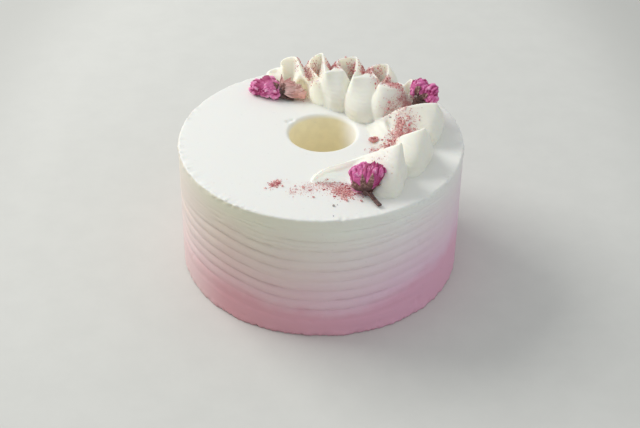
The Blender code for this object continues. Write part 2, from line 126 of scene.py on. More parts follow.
# The ruffle: one ribbon of cream that swings out and in round the ring. Each place on its crest has a left
# and a right side, given by the side's foot on the cake, how steep it starts, and how far it bulges. All in
# millimetres, from the cake's axis and its top.
Crest = namedtuple("Crest", ("x", "y", "height", "left", "right"))
RIBBON = (
    Crest(-34.4, 57.1, 7.0, (-36.0, 57.7, 1.5, 1), (-34.4, 51.1, 1.5, 1)),
    Crest(-32.8, 57.2, 11.5, (-33.5, 60.3, 1.8, 1.5), (-33.8, 48.2, 1.6, 1)),
    Crest(-27.9, 59.0, 13.0, (-29.2, 62.5, 1.8, 1.5), (-27.9, 50.0, 1.6, 1)),
    Crest(-23.6, 58.2, 14.5, (-24.4, 63.5, 1.8, 1), (-22.6, 50.2, 1.6, 1)),
    Crest(-25.2, 60.2, 16.5, (-25.5, 63.0, 1.8, 1.5), (-22.2, 54.2, 0.9, 0)),
    Crest(-21.8, 60.1, 19.5, (-21.0, 64.7, 1.8, 2), (-17.8, 55.1, 0.8, 0)),
    Crest(-16.3, 58.5, 21.0, (-15.1, 65.3, 1.8, 2), (-16.3, 53.5, 0.8, 0)),
    Crest(-14.1, 53.1, 20.5, (-6.1, 57.1, 1.6, 0), (-20.1, 50.1, 0.9, 0)),
    Crest(-12.5, 47.5, 17.5, (-4.5, 49.5, 1.6, 0), (-19.5, 44.5, 1.2, 0)),
    Crest(-10.0, 42.5, 14.5, (-4.0, 46.5, 1.4, 0), (-12.2, 52.6, 1.6, 2.0)),
    Crest(-5.1, 40.5, 14.0, (-4.1, 52.5, 4.0, 0), (-6.3, 41.9, 1.7, 2.5)),
    Crest(-0.4, 42.4, 14.0, (-2.4, 52.4, 4.0, 0), (2.2, 36.8, 1.7, 1.5)),
    Crest(-3.4, 47.6, 15.5, (-9.4, 49.6, 1.8, 0), (4.6, 44.6, 1.2, 0)),
    Crest(-7.4, 55.3, 17.0, (-14.4, 58.3, 1.6, 0), (-0.4, 51.3, 1.1, 0)),
    Crest(-6.0, 59.3, 20.0, (-8.2, 66.5, 1.8, 2), (0.0, 55.3, 0.8, 0)),
    Crest(-0.2, 62.0, 22.0, (1.2, 68.0, 1.8, 2), (-0.2, 57.0, 0.8, 0)),
    Crest(1.1, 55.7, 22.0, (9.1, 59.7, 1.8, 0), (-4.9, 52.7, 0.8, 0)),
    Crest(1.7, 46.7, 21.5, (10.7, 49.7, 2.0, 0), (-4.3, 43.7, 0.9, 0)),
    Crest(2.3, 40.3, 21.0, (12.3, 52.3, 5.0, 0), (2.6, 35.3, 1.6, 1.5)),
    Crest(6.7, 41.8, 21.0, (7.7, 58.8, 7.0, 0), (7.0, 31.0, 1.8, 2.5)),
    Crest(12.1, 42.8, 20.5, (6.1, 56.8, 6.0, 0), (14.1, 29.8, 1.8, 2)),
    Crest(13.4, 45.6, 18.5, (4.4, 50.6, 4.0, 0), (21.4, 42.6, 1.4, 0)),
    Crest(9.8, 55.7, 18.0, (0.8, 56.7, 3.0, 0), (17.8, 51.7, 1.0, 0)),
    Crest(11.6, 58.1, 20.5, (12.8, 65.8, 1.8, 2), (17.6, 54.1, 0.8, 0)),
    Crest(20.1, 57.9, 22.0, (22.1, 64.3, 1.8, 2), (20.1, 52.9, 0.8, 0)),
    Crest(21.4, 51.2, 22.0, (29.4, 55.2, 1.8, 0), (15.4, 48.2, 0.8, 0)),
    Crest(20.9, 43.4, 21.5, (29.9, 46.4, 2.0, 0), (14.9, 39.4, 0.9, 0)),
    Crest(18.5, 34.0, 21.0, (28.5, 46.0, 5.0, 0), (14.7, 27.1, 1.5, 2.5)),
    Crest(23.9, 34.9, 21.0, (29.9, 51.9, 7.0, 0), (21.7, 17.5, 1.8, 2.5)),
    Crest(30.4, 35.7, 20.5, (27.4, 50.7, 6.0, 0), (31.8, 18.3, 1.8, 2)),
    Crest(32.9, 38.1, 18.5, (23.9, 44.1, 4.0, 0), (40.9, 34.1, 1.4, 0)),
    Crest(30.0, 49.9, 18.0, (21.0, 51.9, 3.0, 0), (38.0, 45.9, 1.0, 0)),
    Crest(31.7, 50.4, 20.5, (34.0, 58.9, 1.8, 2), (37.7, 46.4, 0.8, 0)),
    Crest(38.8, 49.1, 22.0, (43.4, 53.6, 1.8, 2), (38.8, 44.1, 0.8, 0)),
    Crest(39.9, 42.3, 22.0, (47.9, 46.3, 1.8, 0), (33.9, 39.3, 0.8, 0)),
    Crest(38.3, 34.1, 21.5, (47.3, 37.1, 2.0, 0), (31.3, 30.1, 0.9, 0)),
    Crest(33.7, 26.6, 21.0, (42.7, 38.6, 5.0, 0), (29.8, 21.9, 1.5, 2.5)),
    Crest(37.6, 23.1, 21.0, (47.6, 38.1, 7.0, 0), (33.6, 14.1, 1.7, 2)),
    Crest(44.2, 23.6, 19.5, (49.2, 37.6, 5.0, 0), (43.2, 14.6, 1.3, 0)),
    Crest(49.3, 29.7, 15.0, (47.3, 39.7, 3.0, 0), (53.3, 19.7, 1.2, 0)),
    Crest(49.0, 35.0, 15.0, (45.0, 43.0, 1.5, 0), (56.0, 30.0, 1.0, 0)),
    Crest(52.9, 34.7, 20.0, (55.8, 40.6, 1.8, 2), (53.9, 28.7, 1.0, 0)),
    Crest(53.3, 29.9, 18.0, (62.3, 32.9, 1.8, 0), (47.3, 25.9, 1.0, 0)),
    Crest(52.2, 26.8, 13.0, (60.2, 27.8, 1.8, 0), (46.2, 22.8, 1.0, 0)),
    Crest(51.6, 22.0, 9.0, (56.6, 27.0, 1.5, 0), (45.6, 16.0, 1.0, 0)),
    Crest(58.8, 22.7, 8.0, (64.7, 21.0, 1.5, 1), (56.8, 15.7, 1.0, 0)),
    Crest(64.7, 12.1, 15.0, (67.0, 14.2, 1.8, 2.5), (57.7, 10.1, 1.0, 0)),
    Crest(66.0, 3.5, 22.0, (68.4, 1.3, 1.8, 3), (63.0, 9.5, 1.0, 0)),
    Crest(62.0, 3.6, 22.0, (63.2, -7.5, 1.6, 3), (62.0, 11.6, 1.0, 0)),
    Crest(54.7, 4.5, 20.5, (53.7, -6.5, 1.3, 1), (54.7, 13.5, 1.0, 0)),
    Crest(47.0, 6.4, 17.0, (45.0, -5.6, 1.2, 0), (45.0, 15.4, 1.1, 0)),
    Crest(40.5, 10.4, 11.0, (41.5, 0.4, 1.2, 0), (28.5, 15.4, 0.9, 0)),
    Crest(37.2, 9.4, 5.5, (43.2, 6.4, 1.0, 0), (26.3, 10.3, 0.7, 0)),
    Crest(42.0, -2.1, 3.8, (44.0, 2.9, 1.0, 0), (30.3, -11.3, 0.7, 0)),
    Crest(56.2, -5.4, 4.0, (56.2, 1.6, 1.0, 0), (56.2, -13.4, 1.2, 0)),
    Crest(59.7, -20.2, 12.0, (61.6, -19.1, 1.8, 1.5), (52.7, -20.2, 1.0, 0)),
    Crest(57.9, -25.7, 23.0, (59.0, -29.5, 1.8, 2.0), (54.9, -18.7, 1.0, 0)),
    Crest(55.0, -27.0, 23.0, (54.8, -37.6, 1.6, 2.2), (53.0, -19.0, 1.0, 0)),
    Crest(49.7, -26.0, 20.5, (48.9, -40.7, 1.4, 1.5), (46.7, -18.0, 1.0, 0)),
    Crest(44.5, -23.5, 16.5, (40.6, -38.9, 1.2, 0), (40.5, -15.5, 1.0, 0)),
    Crest(40.4, -19.5, 11.0, (41.4, -27.5, 1.2, 0), (33.4, -14.5, 1.2, 0)),
    Crest(37.2, -20.1, 7.0, (42.2, -22.1, 1.1, 0), (29.2, -22.1, 1.3, 0)),
    Crest(42.2, -25.2, 3.0, (45.2, -20.2, 1.0, 0), (37.2, -31.2, 1.2, 0)),
    Crest(46.2, -34.8, 4.0, (50.2, -31.8, 1.0, 0), (40.2, -38.8, 1.2, 0)),
    Crest(45.4, -42.5, 13.0, (46.6, -41.7, 1.8, 0.8), (38.4, -42.5, 1.0, 0)),
    Crest(43.8, -43.0, 24.0, (44.7, -52.5, 1.8, 1.2), (40.8, -36.0, 1.0, 0)),
    Crest(41.6, -44.0, 24.0, (41.4, -59.3, 1.7, 2), (38.6, -36.0, 1.0, 0)),
    Crest(36.4, -42.3, 21.0, (34.9, -60.3, 1.6, 1.5), (32.4, -34.3, 1.0, 0)),
    Crest(31.2, -38.8, 16.5, (28.5, -58.6, 1.4, 1), (27.2, -31.8, 1.0, 0)),
    Crest(24.8, -36.1, 12.0, (22.6, -53.9, 1.2, 0), (20.8, -30.1, 1.1, 0)),
    Crest(18.3, -36.8, 9.5, (16.7, -47.2, 0.95, -1.2), (15.3, -31.8, 1.3, 0)),
    Crest(11.7, -39.3, 8.4, (10.7, -45.4, 0.9, -2.0), (8.7, -34.3, 1.6, 0)),
    Crest(5.1, -42.2, 7.6, (5.2, -45.5, 0.85, -2.6), (2.1, -37.2, 1.8, 0)),
    Crest(-0.1, -44.4, 5.8, (0.2, -45.4, 0.8, -2.0), (-3.6, -41.4, 1.8, 0)),
    Crest(-3.6, -45.5, 2.8, (-2.8, -46.0, 0.9, -0.4), (-5.2, -44.3, 1.3, 0)),
    Crest(-4.7, -45.9, 0.3, (-4.4, -46.3, 1.0, 0), (-5.0, -45.5, 1.0, 0)),
)
RIBBON_SINK = 1.5 * MM  # the sweep runs this far below the cake's top
SIDE_STEPS = 14
WINDOW_PLACE = (-1.11, 0.64, 1.07)  # metres
PATH_STEPS = 10  # sections between two places on the crest

# Salted cherry blossoms, millimetres from the cake's axis and its top
Lump = namedtuple("Lump", ("x", "y", "z", "wide", "deep", "tall"))
Leaf = namedtuple("Leaf", ("x", "y", "z", "half_width", "lift"))  # a petal's tip, and how it arches
Blossom = namedtuple(
    "Blossom",
    (
        "name",
        "finish",
        "stem",  # points from the stem's cut end
        "base",  # where the petals leave the calyx
        "top",  # middle of the petals' end
        "lumps",  # of the crumpled petals
        "calyx",  # lumps of the calyx
        "sepals",  # turn round the head in degrees and length of each
        "leaves",
    ),
)
BLOSSOMS = (
    Blossom(
        "blossom_front",
        "pink",
        ((31.9, -69.6, 1.4), (29.6, -66.2, 2.0), (27.0, -62.4, 3.4)),
        (24.8, -58.6, 3.6),
        (26.0, -47.5, 11.5),
        (
            Lump(21.5, -51.2, 6.4, 4.7, 5.2, 5.4),
            Lump(27.6, -51.3, 7.2, 4.6, 5.0, 5.4),
            Lump(31.4, -53.6, 12.8, 3.5, 2.8, 2.6),
            Lump(29.2, -51.4, 11.8, 4.4, 3.2, 3.0),
            Lump(24.2, -48.2, 10.6, 4.6, 3.4, 3.0),
            Lump(19.8, -48.4, 8.6, 4.2, 3.4, 3.2),
            Lump(20.7, -54.2, 4.0, 3.2, 3.4, 3.4),
            Lump(25.0, -56.0, 4.4, 3.6, 3.0, 3.2),
        ),
        (Lump(25.0, -59.2, 3.2, 2.1, 2.0, 2.0),),
        ((-115.0, 8.2), (-68.0, 8.6), (-166.0, 5.2), (-14.0, 5.0), (90.0, 6.0)),
        (
            Leaf(17.2, -50.0, 9.8, 3.2, 3.0),
            Leaf(20.8, -48.2, 11.8, 4.2, 3.6),
            Leaf(26.0, -47.9, 13.9, 4.4, 4.0),
            Leaf(30.4, -50.4, 16.2, 3.8, 4.0),
            Leaf(33.4, -52.8, 15.0, 2.9, 2.4),
            Leaf(33.0, -54.4, 12.6, 2.8, 2.4),
            Leaf(30.6, -57.4, 9.6, 2.4, 1.8),
            Leaf(29.6, -46.6, 13.6, 4.2, 2.0),
            Leaf(22.0, -45.6, 11.0, 4.4, 2.0),
        ),
    ),
    Blossom(
        "blossom_left",
        "pale",
        ((-16.8, 42.6, 1.0), (-19.6, 42.2, 1.5), (-22.4, 42.6, 2.6)),
        (-26.4, 46.0, 4.6),
        (-41.5, 50.4, 5.6),
        (
            Lump(-30.6, 48.6, 5.2, 5.2, 5.6, 4.8),
            Lump(-31.6, 51.6, 7.0, 3.8, 3.6, 3.2),
            Lump(-33.6, 46.6, 3.2, 3.6, 3.2, 2.8),
            Lump(-38.6, 51.6, 5.0, 3.9, 4.4, 3.6),
            Lump(-40.2, 50.6, 3.6, 3.2, 3.4, 3.0),
            Lump(-36.0, 50.0, 4.4, 3.6, 3.8, 3.4),
            Lump(-27.8, 43.8, 3.4, 2.8, 2.4, 2.8),
        ),
        (Lump(-24.8, 44.8, 3.2, 2.0, 2.4, 2.4), Lump(-22.6, 43.4, 2.2, 2.2, 1.4, 1.6)),
        ((-100.0, 3.2), (-30.0, 3.0), (40.0, 4.0), (110.0, 4.0)),
        (
            Leaf(-36.6, 51.0, 10.2, 4.2, 3.6),
            Leaf(-37.6, 45.6, 5.6, 3.6, 3.0),
            Leaf(-42.2, 51.0, 7.4, 3.6, 3.2),
            Leaf(-43.0, 48.4, 3.4, 3.2, 2.4),
            Leaf(-35.0, 55.6, 6.0, 4.0, 2.0),
        ),
    ),
    Blossom(
        "blossom_faded",
        "faded",
        ((-16.2, 44.6, 1.2), (-19.6, 44.2, 1.6), (-21.8, 44.6, 2.6)),
        (-23.6, 45.0, 5.0),
        (-13.0, 45.5, 7.5),
        (
            Lump(-18.8, 47.0, 7.0, 4.2, 2.6, 3.0),
            Lump(-14.5, 44.6, 6.2, 3.4, 2.4, 2.8),
            Lump(-12.4, 43.2, 3.8, 2.8, 2.2, 2.2),
        ),
        (Lump(-23.4, 44.8, 4.6, 2.0, 2.2, 2.2),),
        ((-150.0, 3.4), (-80.0, 3.2)),
        (
            Leaf(-24.4, 53.5, 11.6, 1.9, 0.8),
            Leaf(-18.3, 50.0, 11.9, 3.0, 1.6),
            Leaf(-14.9, 47.5, 10.9, 3.2, 1.8),
            Leaf(-11.8, 45.0, 9.3, 3.0, 1.8),
            Leaf(-16.8, 46.0, 8.6, 3.2, 1.4),
            Leaf(-9.4, 43.5, 6.7, 2.8, 1.6),
            Leaf(-9.0, 42.6, 4.9, 2.6, 1.4),
            Leaf(-9.3, 42.0, 2.7, 2.6, 1.4),
            Leaf(-11.4, 41.2, 2.1, 2.6, 1.4),
        ),
    ),
    Blossom(
        "blossom_right",
        "pink",
        ((53.0, 17.0, 14.2), (55.6, 16.0, 14.0), (58.4, 16.4, 13.8)),
        (56.8, 20.4, 15.8),
        (63.4, 25.4, 19.4),
        (
            Lump(58.0, 27.2, 18.6, 4.8, 5.0, 4.4),
            Lump(56.0, 24.4, 17.4, 3.2, 3.4, 3.4),
            Lump(60.6, 23.6, 17.2, 3.8, 4.2, 4.2),
            Lump(65.0, 22.6, 19.0, 3.3, 3.6, 3.6),
            Lump(63.8, 18.6, 16.4, 3.8, 3.2, 3.4),
        ),
        (Lump(56.6, 19.4, 15.2, 3.0, 2.6, 2.6), Lump(59.6, 17.4, 14.2, 3.0, 1.8, 1.6)),
        ((-100.0, 5.0), (-30.0, 4.6), (40.0, 4.8), (110.0, 4.8), (180.0, 4.6)),
        (
            Leaf(55.6, 28.8, 22.6, 4.0, 2.6),
            Leaf(60.4, 29.4, 22.6, 4.0, 2.6),
            Leaf(67.2, 24.2, 21.8, 3.4, 2.0),
            Leaf(66.8, 18.6, 17.6, 3.2, 2.0),
            Leaf(60.2, 22.0, 20.0, 3.2, 2.4),
        ),
    ),
)
PETAL_VOXEL = 0.32 * MM
LEAF_ROWS = 17
LEAF_COLUMNS = 15
LEAF_THICKNESS = 0.25 * MM
SEPAL_THICKNESS = 0.4 * MM
STEM_RADIUS = 0.72 * MM

# Patches of berry crumbs: centre from the axis and the top and half sizes in millimetres, turn in degrees,
# amount of powder and amount of crumbs
Patch = namedtuple("Patch", ("x", "y", "z", "along", "across", "turn", "powder", "crumbs"))
PATCHES = (
    Patch(-25.0, -48.0, 0.0, 2.3, 2.3, 0.0, 2.4, 3.0),
    Patch(-22.0, -47.0, 0.0, 6.0, 3.4, 10.0, 0.22, 0.10),
    Patch(-14.6, -55.0, 0.0, 3.4, 2.4, 20.0, 0.7, 0.6),
    Patch(-6.0, -51.5, 0.0, 9.0, 4.8, 12.0, 0.5, 0.28),
    Patch(4.0, -49.4, 0.0, 9.0, 4.6, 0.0, 0.8, 0.5),
    Patch(12.6, -55.4, 0.0, 6.6, 4.6, -24.0, 1.3, 1.6),
    Patch(11.0, -50.0, 0.0, 10.0, 5.0, 0.0, 0.8, 0.45),
    Patch(19.5, -58.0, 0.0, 2.2, 2.0, 0.0, 0.5, 0.5),
    Patch(-12.0, 57.0, 16.0, 3.8, 5.2, 0.0, 0.9, 0.55),
    Patch(-4.1, 57.8, 13.2, 4.4, 3.6, 0.0, 0.9, 0.6),
    Patch(-7.7, 51.3, 12.7, 3.4, 4.4, 0.0, 1.1, 0.8),
    Patch(-3.9, 41.6, 13.9, 4.2, 4.0, 0.0, 0.35, 0.2),
    Patch(6.2, 54.1, 15.6, 5.4, 4.6, 0.0, 1.3, 1.0),
    Patch(2.5, 52.0, 17.0, 2.0, 3.0, 0.0, 0.7, 0.6),
    Patch(19.0, 55.4, 13.6, 3.8, 4.6, 0.0, 1.1, 0.8),
    Patch(26.7, 48.4, 15.7, 5.2, 5.2, 0.0, 1.3, 1.0),
    Patch(34.0, 47.4, 16.3, 3.8, 4.6, 0.0, 1.1, 0.8),
    Patch(31.6, 36.0, 17.0, 3.0, 3.4, 0.0, 0.5, 0.15),
    Patch(36.8, 33.0, 19.0, 3.8, 5.0, 0.0, 1.3, 0.9),
    Patch(42.4, 28.4, 19.0, 5.4, 4.8, -20.0, 1.4, 1.0),
    Patch(47.4, 22.8, 12.6, 7.0, 8.0, 0.0, 0.85, 0.2),
    Patch(50.4, 21.1, 9.7, 5.4, 5.4, 0.0, 1.2, 0.45),
    Patch(43.1, 16.0, 10.6, 6.6, 5.4, 0.0, 0.9, 0.35),
    Patch(46.4, 3.8, 14.4, 8.6, 6.0, 0.0, 0.55, 0.12),
    Patch(45.3, 0.5, 9.7, 4.6, 4.6, 0.0, 1.0, 1.1),
    Patch(51.4, -1.1, 12.1, 4.4, 4.4, 0.0, 0.6, 0.35),
    Patch(44.2, -2.6, 5.3, 5.4, 5.2, 0.0, 1.1, 1.3),
    Patch(50.4, -4.4, 7.0, 4.4, 4.4, 0.0, 1.0, 0.8),
    Patch(41.8, -8.0, 4.0, 4.8, 4.6, 0.0, 1.1, 1.1),
    Patch(36.6, -13.0, 3.0, 4.8, 4.4, 0.0, 1.0, 0.95),
    Patch(32.5, -15.0, 0.8, 4.6, 4.2, 0.0, 0.9, 0.8),
    Patch(30.4, -22.0, 1.0, 3.6, 3.8, 0.0, 0.9, 0.8),
    Patch(41.5, -20.0, 11.4, 3.8, 3.8, 0.0, 1.2, 1.2),
    Patch(37.6, -21.5, 7.0, 3.8, 3.8, 0.0, 1.2, 1.2),
    Patch(33.0, -25.5, 5.8, 3.4, 3.6, 0.0, 0.8, 0.6),
    # Faint powder on the front tower's face, which also darkens its lit face: partly real dust, partly
    # painted shade
    Patch(33.0, -46.5, 12.0, 8.0, 8.0, 0.0, 0.3, 0.0),
    Patch(-11.2, 47.0, 0.5, 4.4, 5.0, 0.0, 0.6, 0.2),
    Patch(1.5, -47.0, 0.9, 5.0, 2.6, 8.0, 0.8, 0.5),
)
PATCH_TALL = 5.5  # millimetres up and down that a patch reaches
FLAT_PATCH = 0.4  # a patch lower than this lies on the flat top
RUFFLE_SHARE = 0.3  # of such a patch that falls on the ruffle
UPRIGHT_DUST = 0.45  # share of a patch that clings to an upright face
LEVEL_DUST = 1.4  # and how fast it grows towards a level one
# Single loose bits on the top and the ruffle, and one crumb that is a ring
Speck = namedtuple("Speck", ("x", "y", "z", "size"))
BERRY_SPECKS = (
    Speck(39.5, 17.2, 13.7, 1.15),
    Speck(40.7, -3.7, 5.4, 0.9),
    Speck(-3.7, -60.5, 0.2, 0.7),
    Speck(22.1, -63.8, 0.2, 0.75),
    Speck(14.3, -63.5, 0.2, 0.8),
    Speck(44.6, 2.2, 12.0, 0.9),
    Speck(38.2, -6.6, 3.0, 0.8),
    Speck(-20.8, -50.2, 0.2, 0.6),
)
DARK_SPECKS = (
    Speck(40.0, 5.6, 10.8, 0.75),
    Speck(7.0, -68.3, 0.1, 0.8),
    Speck(9.2, -67.4, 0.1, 0.35),
    Speck(7.0, -77.5, 0.0, 0.45),
    Speck(43.4, 15.6, 12.0, 0.5),
)
RING_CRUMB = (30.2, -3.6, 1.6)


def length(name, description, default, **options):
    return FloatProperty(name=name, description=description, default=default, unit="LENGTH", **options)


def colour(name, description, default):
    return FloatVectorProperty(name=name, description=description, default=default, size=3, subtype="COLOR")


class CoatSettings(bpy.types.PropertyGroup):
    line_pitch: length("Line Pitch", "Height from one comb line to the next", 6.7 * MM)
    lowest_line: length("Lowest Line", "Height of the lowest comb line at the front", 18.5 * MM)
    line_depth: length("Line Depth", "Depth of the comb lines", 1.7 * MM)
    line_rise: length("Line Rise", "How far the comb lines climb away from the front", 3.8 * MM)
    rise_tilt: length("Rise Tilt", "How much further they climb at the left", 0.8 * MM)
    stroke_pitch: length("Stroke Pitch", "Height from one fine stroke to the next", 3.1 * MM)
    stroke_depth: length("Stroke Depth", "Depth of the fine strokes", 0.8 * MM)
    streak_depth: length("Streak Depth", "Depth of the fine streaks between the lines", 0.42 * MM)
    swell: length("Swell", "Height of the broad unevenness", 0.35 * MM)
    rim_lumps: length("Rim Lumps", "Size of the lumps along the rim", 1.5 * MM)
    hem: length("Hem", "Unevenness of the bottom edge", 3.4 * MM)
    white: colour("White", "Cream on the top", (0.86, 0.865, 0.825))
    ivory: colour("Ivory", "Cream high on the side", (0.83, 0.81, 0.67))
    lilac: colour("Lilac", "Cream half way down the side", (0.765, 0.60, 0.575))
    mauve: colour("Mauve", "Where the lilac meets the pink", (0.745, 0.50, 0.535))
    pink: colour("Pink", "Cream at the base", (0.71, 0.375, 0.43))
    # Painted light: a warm bounce on the side's left and a cool shade on its right
    warm_cast: colour("Warm Cast", "Tints the side's left", (0.94, 0.93, 0.88))
    cool_cast: colour("Cool Cast", "Tints the side's right", (1.03, 1.08, 1.24))
    # Painted light: paler where the window's light grazes the side's far left
    pale_left: colour("Pale Left", "Cream at the side's far left", (0.83, 0.76, 0.72))
    # The hole's wall: yellowish cream, deepened into a painted warm bounce of light inside the hole
    sponge: colour("Sponge", "Wall of the hole", (0.88, 0.82, 0.55))
    # Painted light: the hole's wall glows, standing in for light bounced into the hole
    sponge_glow: colour("Sponge Glow", "Light that comes through the wall of the hole", (0.085, 0.07, 0.055))


class RuffleSettings(bpy.types.PropertyGroup):
    crest: length("Crest", "Half thickness of the ribbon's edge", 0.45 * MM)
    voxel: length("Voxel", "Grid size that joins the folds", 0.55 * MM)
    ripple: length("Ripple", "Height of the fine ripples", 0.22 * MM)
    cream: colour("Cream", "Piped cream", (0.89, 0.885, 0.795))
    # Painted light: both glows are emission on the ruffle, for light through its thin walls and to brighten
    # the tail's shaded hollow
    glow: colour("Glow", "Light that comes through the thin cream", (0.36, 0.34, 0.22))
    tail_glow: colour("Tail Glow", "Light that comes through the ruffle's tail", (0.24, 0.31, 0.29))


class BlossomSettings(bpy.types.PropertyGroup):
    crinkle: length("Crinkle", "Height of the petals' folds", 1.9 * MM)
    petal: colour("Petal", "Fresh petals", (0.72, 0.15, 0.40))
    # Painted light on the petals: the darker tint is painted shade in the creases, the palest one a painted
    # highlight on the crests
    petal_dark: colour("Petal Creases", "The darker creases of the petals", (0.36, 0.015, 0.12))
    petal_pale: colour("Petal Crests", "The palest folds of the petals", (0.80, 0.42, 0.60))
    light_petal: colour("Light Petal", "The lighter petals at the left", (0.86, 0.24, 0.50))
    # Painted highlight on the crests of the lighter petals
    light_pale: colour("Light Crests", "The palest folds of the lighter petals", (0.92, 0.56, 0.72))
    faded: colour("Faded Petal", "Faded petals", (0.83, 0.54, 0.50))
    # Painted shade in the faded petals' folds, and a painted highlight on their crests
    faded_dark: colour("Faded Folds", "The darker folds of the faded petals", (0.64, 0.33, 0.30))
    faded_pale: colour("Faded Crests", "The palest folds of the faded petals", (0.84, 0.62, 0.57))
    coral: colour("Coral", "Where the faded petals keep their colour", (0.93, 0.50, 0.42))
    sepal: colour("Sepal", "Sepals", (0.17, 0.065, 0.05))
    sepal_pale: colour("Sepal Ridges", "Paler ridges of the sepals", (0.52, 0.29, 0.26))
    sepal_root: colour("Sepal Root", "Where the sepals leave the calyx", (0.10, 0.034, 0.03))
    stem: colour("Stem", "Stems and calyxes", (0.055, 0.018, 0.014))
    stem_pale: colour("Stem Ridges", "Paler ridges of the stems", (0.17, 0.07, 0.055))


class CrumbSettings(bpy.types.PropertyGroup):
    powder_density: FloatProperty(name="Powder Density", description="Grains per square metre", default=6.3e6)
    crumb_density: FloatProperty(name="Crumb Density", description="Crumbs per square metre", default=11.5e5)
    powder_size: length("Powder Size", "Radius of the largest grain", 0.34 * MM)
    crumb_size: length("Crumb Size", "Radius of the largest crumb", 0.85 * MM)
    seed: IntProperty(name="Seed", description="Draws another scatter", default=4)
    red: colour("Berry Red", "Darkest crumbs", (0.55, 0.15, 0.16))
    rose: colour("Rose", "Palest crumbs", (0.90, 0.60, 0.565))


class StageSettings(bpy.types.PropertyGroup):
    floor: colour("Floor", "Floor under the cake", (0.665, 0.67, 0.635))
    window: FloatProperty(name="Window", description="Strength of the soft main light", default=19.0)
    fill: FloatProperty(name="Fill", description="Strength of the weak light from the right", default=1.8)
    sky: FloatProperty(name="Room Light", description="Strength of the light from all round", default=0.58)


# --- node trees -----------------------------------------------------------------------------------------

BLACK = (0.0, 0.0, 0.0)


class Value:
    """An output of a node. A sum with it adds the math node that works it out."""

    def __init__(self, nodes, socket):
        self.nodes = nodes
        self.socket = socket

    def __add__(self, other):
        return self.nodes.math("ADD", self, other)

    def __sub__(self, other):
        return self.nodes.math("SUBTRACT", self, other)

    def __rsub__(self, other):
        return self.nodes.math("SUBTRACT", other, self)

    def __mul__(self, other):
        return self.nodes.math("MULTIPLY", self, other)

    def __truediv__(self, other):
        return self.nodes.math("DIVIDE", self, other)

    def __pow__(self, other):
        return self.nodes.math("POWER", self, other)

    def __abs__(self):
        return self.nodes.math("ABSOLUTE", self)


class Nodes:
    """Adds nodes to a tree. An input takes a plain value or colour, or the Value that feeds it."""

    def __init__(self, tree):
        self.tree = tree

    def feed(self, socket, value):
        if isinstance(value, Value):
            self.tree.links.new(value.socket, socket)
        else:
            socket.default_value = (*value, 1.0) if socket.type == "RGBA" else value

    def add(self, kind, inputs, **settings):
        node = self.tree.nodes.new(kind)
        for name, value in settings.items():
            setattr(node, name, value)
        for key, value in inputs.items():
            self.feed(node.inputs[key], value)
        return node

    def value(self, kind, output=0, inputs=None, **settings):
        """One output of a new node."""
        return Value(self, self.add(kind, inputs or {}, **settings).outputs[output])

    def math(self, operation, *values, clamp=False):
        return self.value("ShaderNodeMath", 0, dict(enumerate(values)), operation=operation, use_clamp=clamp)

    def vector_math(self, operation, first, second):
        """Second is another vector, or the number that a vector is scaled by."""
        key = "Scale" if operation == "SCALE" else 1
        return self.value("ShaderNodeVectorMath", 0, {0: first, key: second}, operation=operation)

    def spread(self, value, low, high, first=0.0, last=1.0):
        """Goes smoothly from first to last as the value goes from low to high."""
        inputs = {"Value": value, "From Min": low, "From Max": high, "To Min": first, "To Max": last}
        return self.value("ShaderNodeMapRange", 0, inputs, interpolation_type="SMOOTHSTEP")

    def noise(self, place, scale, detail=2.0, roughness=0.5, output=0):
        inputs = {"Vector": place, "Scale": scale, "Detail": detail, "Roughness": roughness}
        return self.value("ShaderNodeTexNoise", output, inputs)

    def random(self, sort, low, high, seed):
        """A random number or vector between two others, for each point."""
        first, output = {"FLOAT_VECTOR": (0, 0), "FLOAT": (2, 1), "INT": (4, 2)}[sort]
        inputs = {first: low, first + 1: high, "Seed": seed}
        return self.value("FunctionNodeRandomValue", output, inputs, data_type=sort)

    def vector(self, x, y, z):
        return self.value("ShaderNodeCombineXYZ", 0, {"X": x, "Y": y, "Z": z})

    def parts(self, vector):
        """The X, Y and Z of a vector."""
        node = self.add("ShaderNodeSeparateXYZ", {"Vector": vector})
        return [Value(self, socket) for socket in node.outputs]

    def mix(self, share, first, second, blend="MIX"):
        inputs = {0: share, 6: first, 7: second}
        return self.value("ShaderNodeMix", 2, inputs, data_type="RGBA", blend_type=blend)

    def ramp(self, value, bands):
        """A colour that goes through the bands, each a place from 0 to 1 and its tint."""
        node = self.add("ShaderNodeValToRGB", {"Fac": value})
        stops = node.color_ramp.elements
        while len(stops) < len(bands):
            stops.new(1.0)
        for stop, (where, tint) in zip(stops, bands):
            stop.position = where
            stop.color = (*tint, 1.0)
        return Value(self, node.outputs["Color"])

    def place(self):
        return self.value("ShaderNodeTexCoord", "Object")

    def stored(self, name):
        """A number that the mesh's points keep, in a material."""
        return self.value("ShaderNodeAttribute", "Fac", attribute_name=name)

    def named(self, name):
        """The same in Geometry Nodes."""
        return self.value("GeometryNodeInputNamedAttribute", "Attribute", {"Name": name})


def darker(tint, share):
    return [part * share for part in tint]


def new_group(name, kind, inputs, outputs):
    """A tree with inputs and outputs of these names and sorts: its Nodes, input Values and output sockets."""
    tree = bpy.data.node_groups.new(name, kind)
    for way, labels in (("INPUT", inputs), ("OUTPUT", outputs)):
        for label, sort in labels.items():
            tree.interface.new_socket(name=label, in_out=way, socket_type="NodeSocket" + sort)
    nodes = Nodes(tree)
    entry = nodes.add("NodeGroupInput", {})
    leave = nodes.add("NodeGroupOutput", {})
    return nodes, {socket.name: Value(nodes, socket) for socket in entry.outputs}, leave.inputs


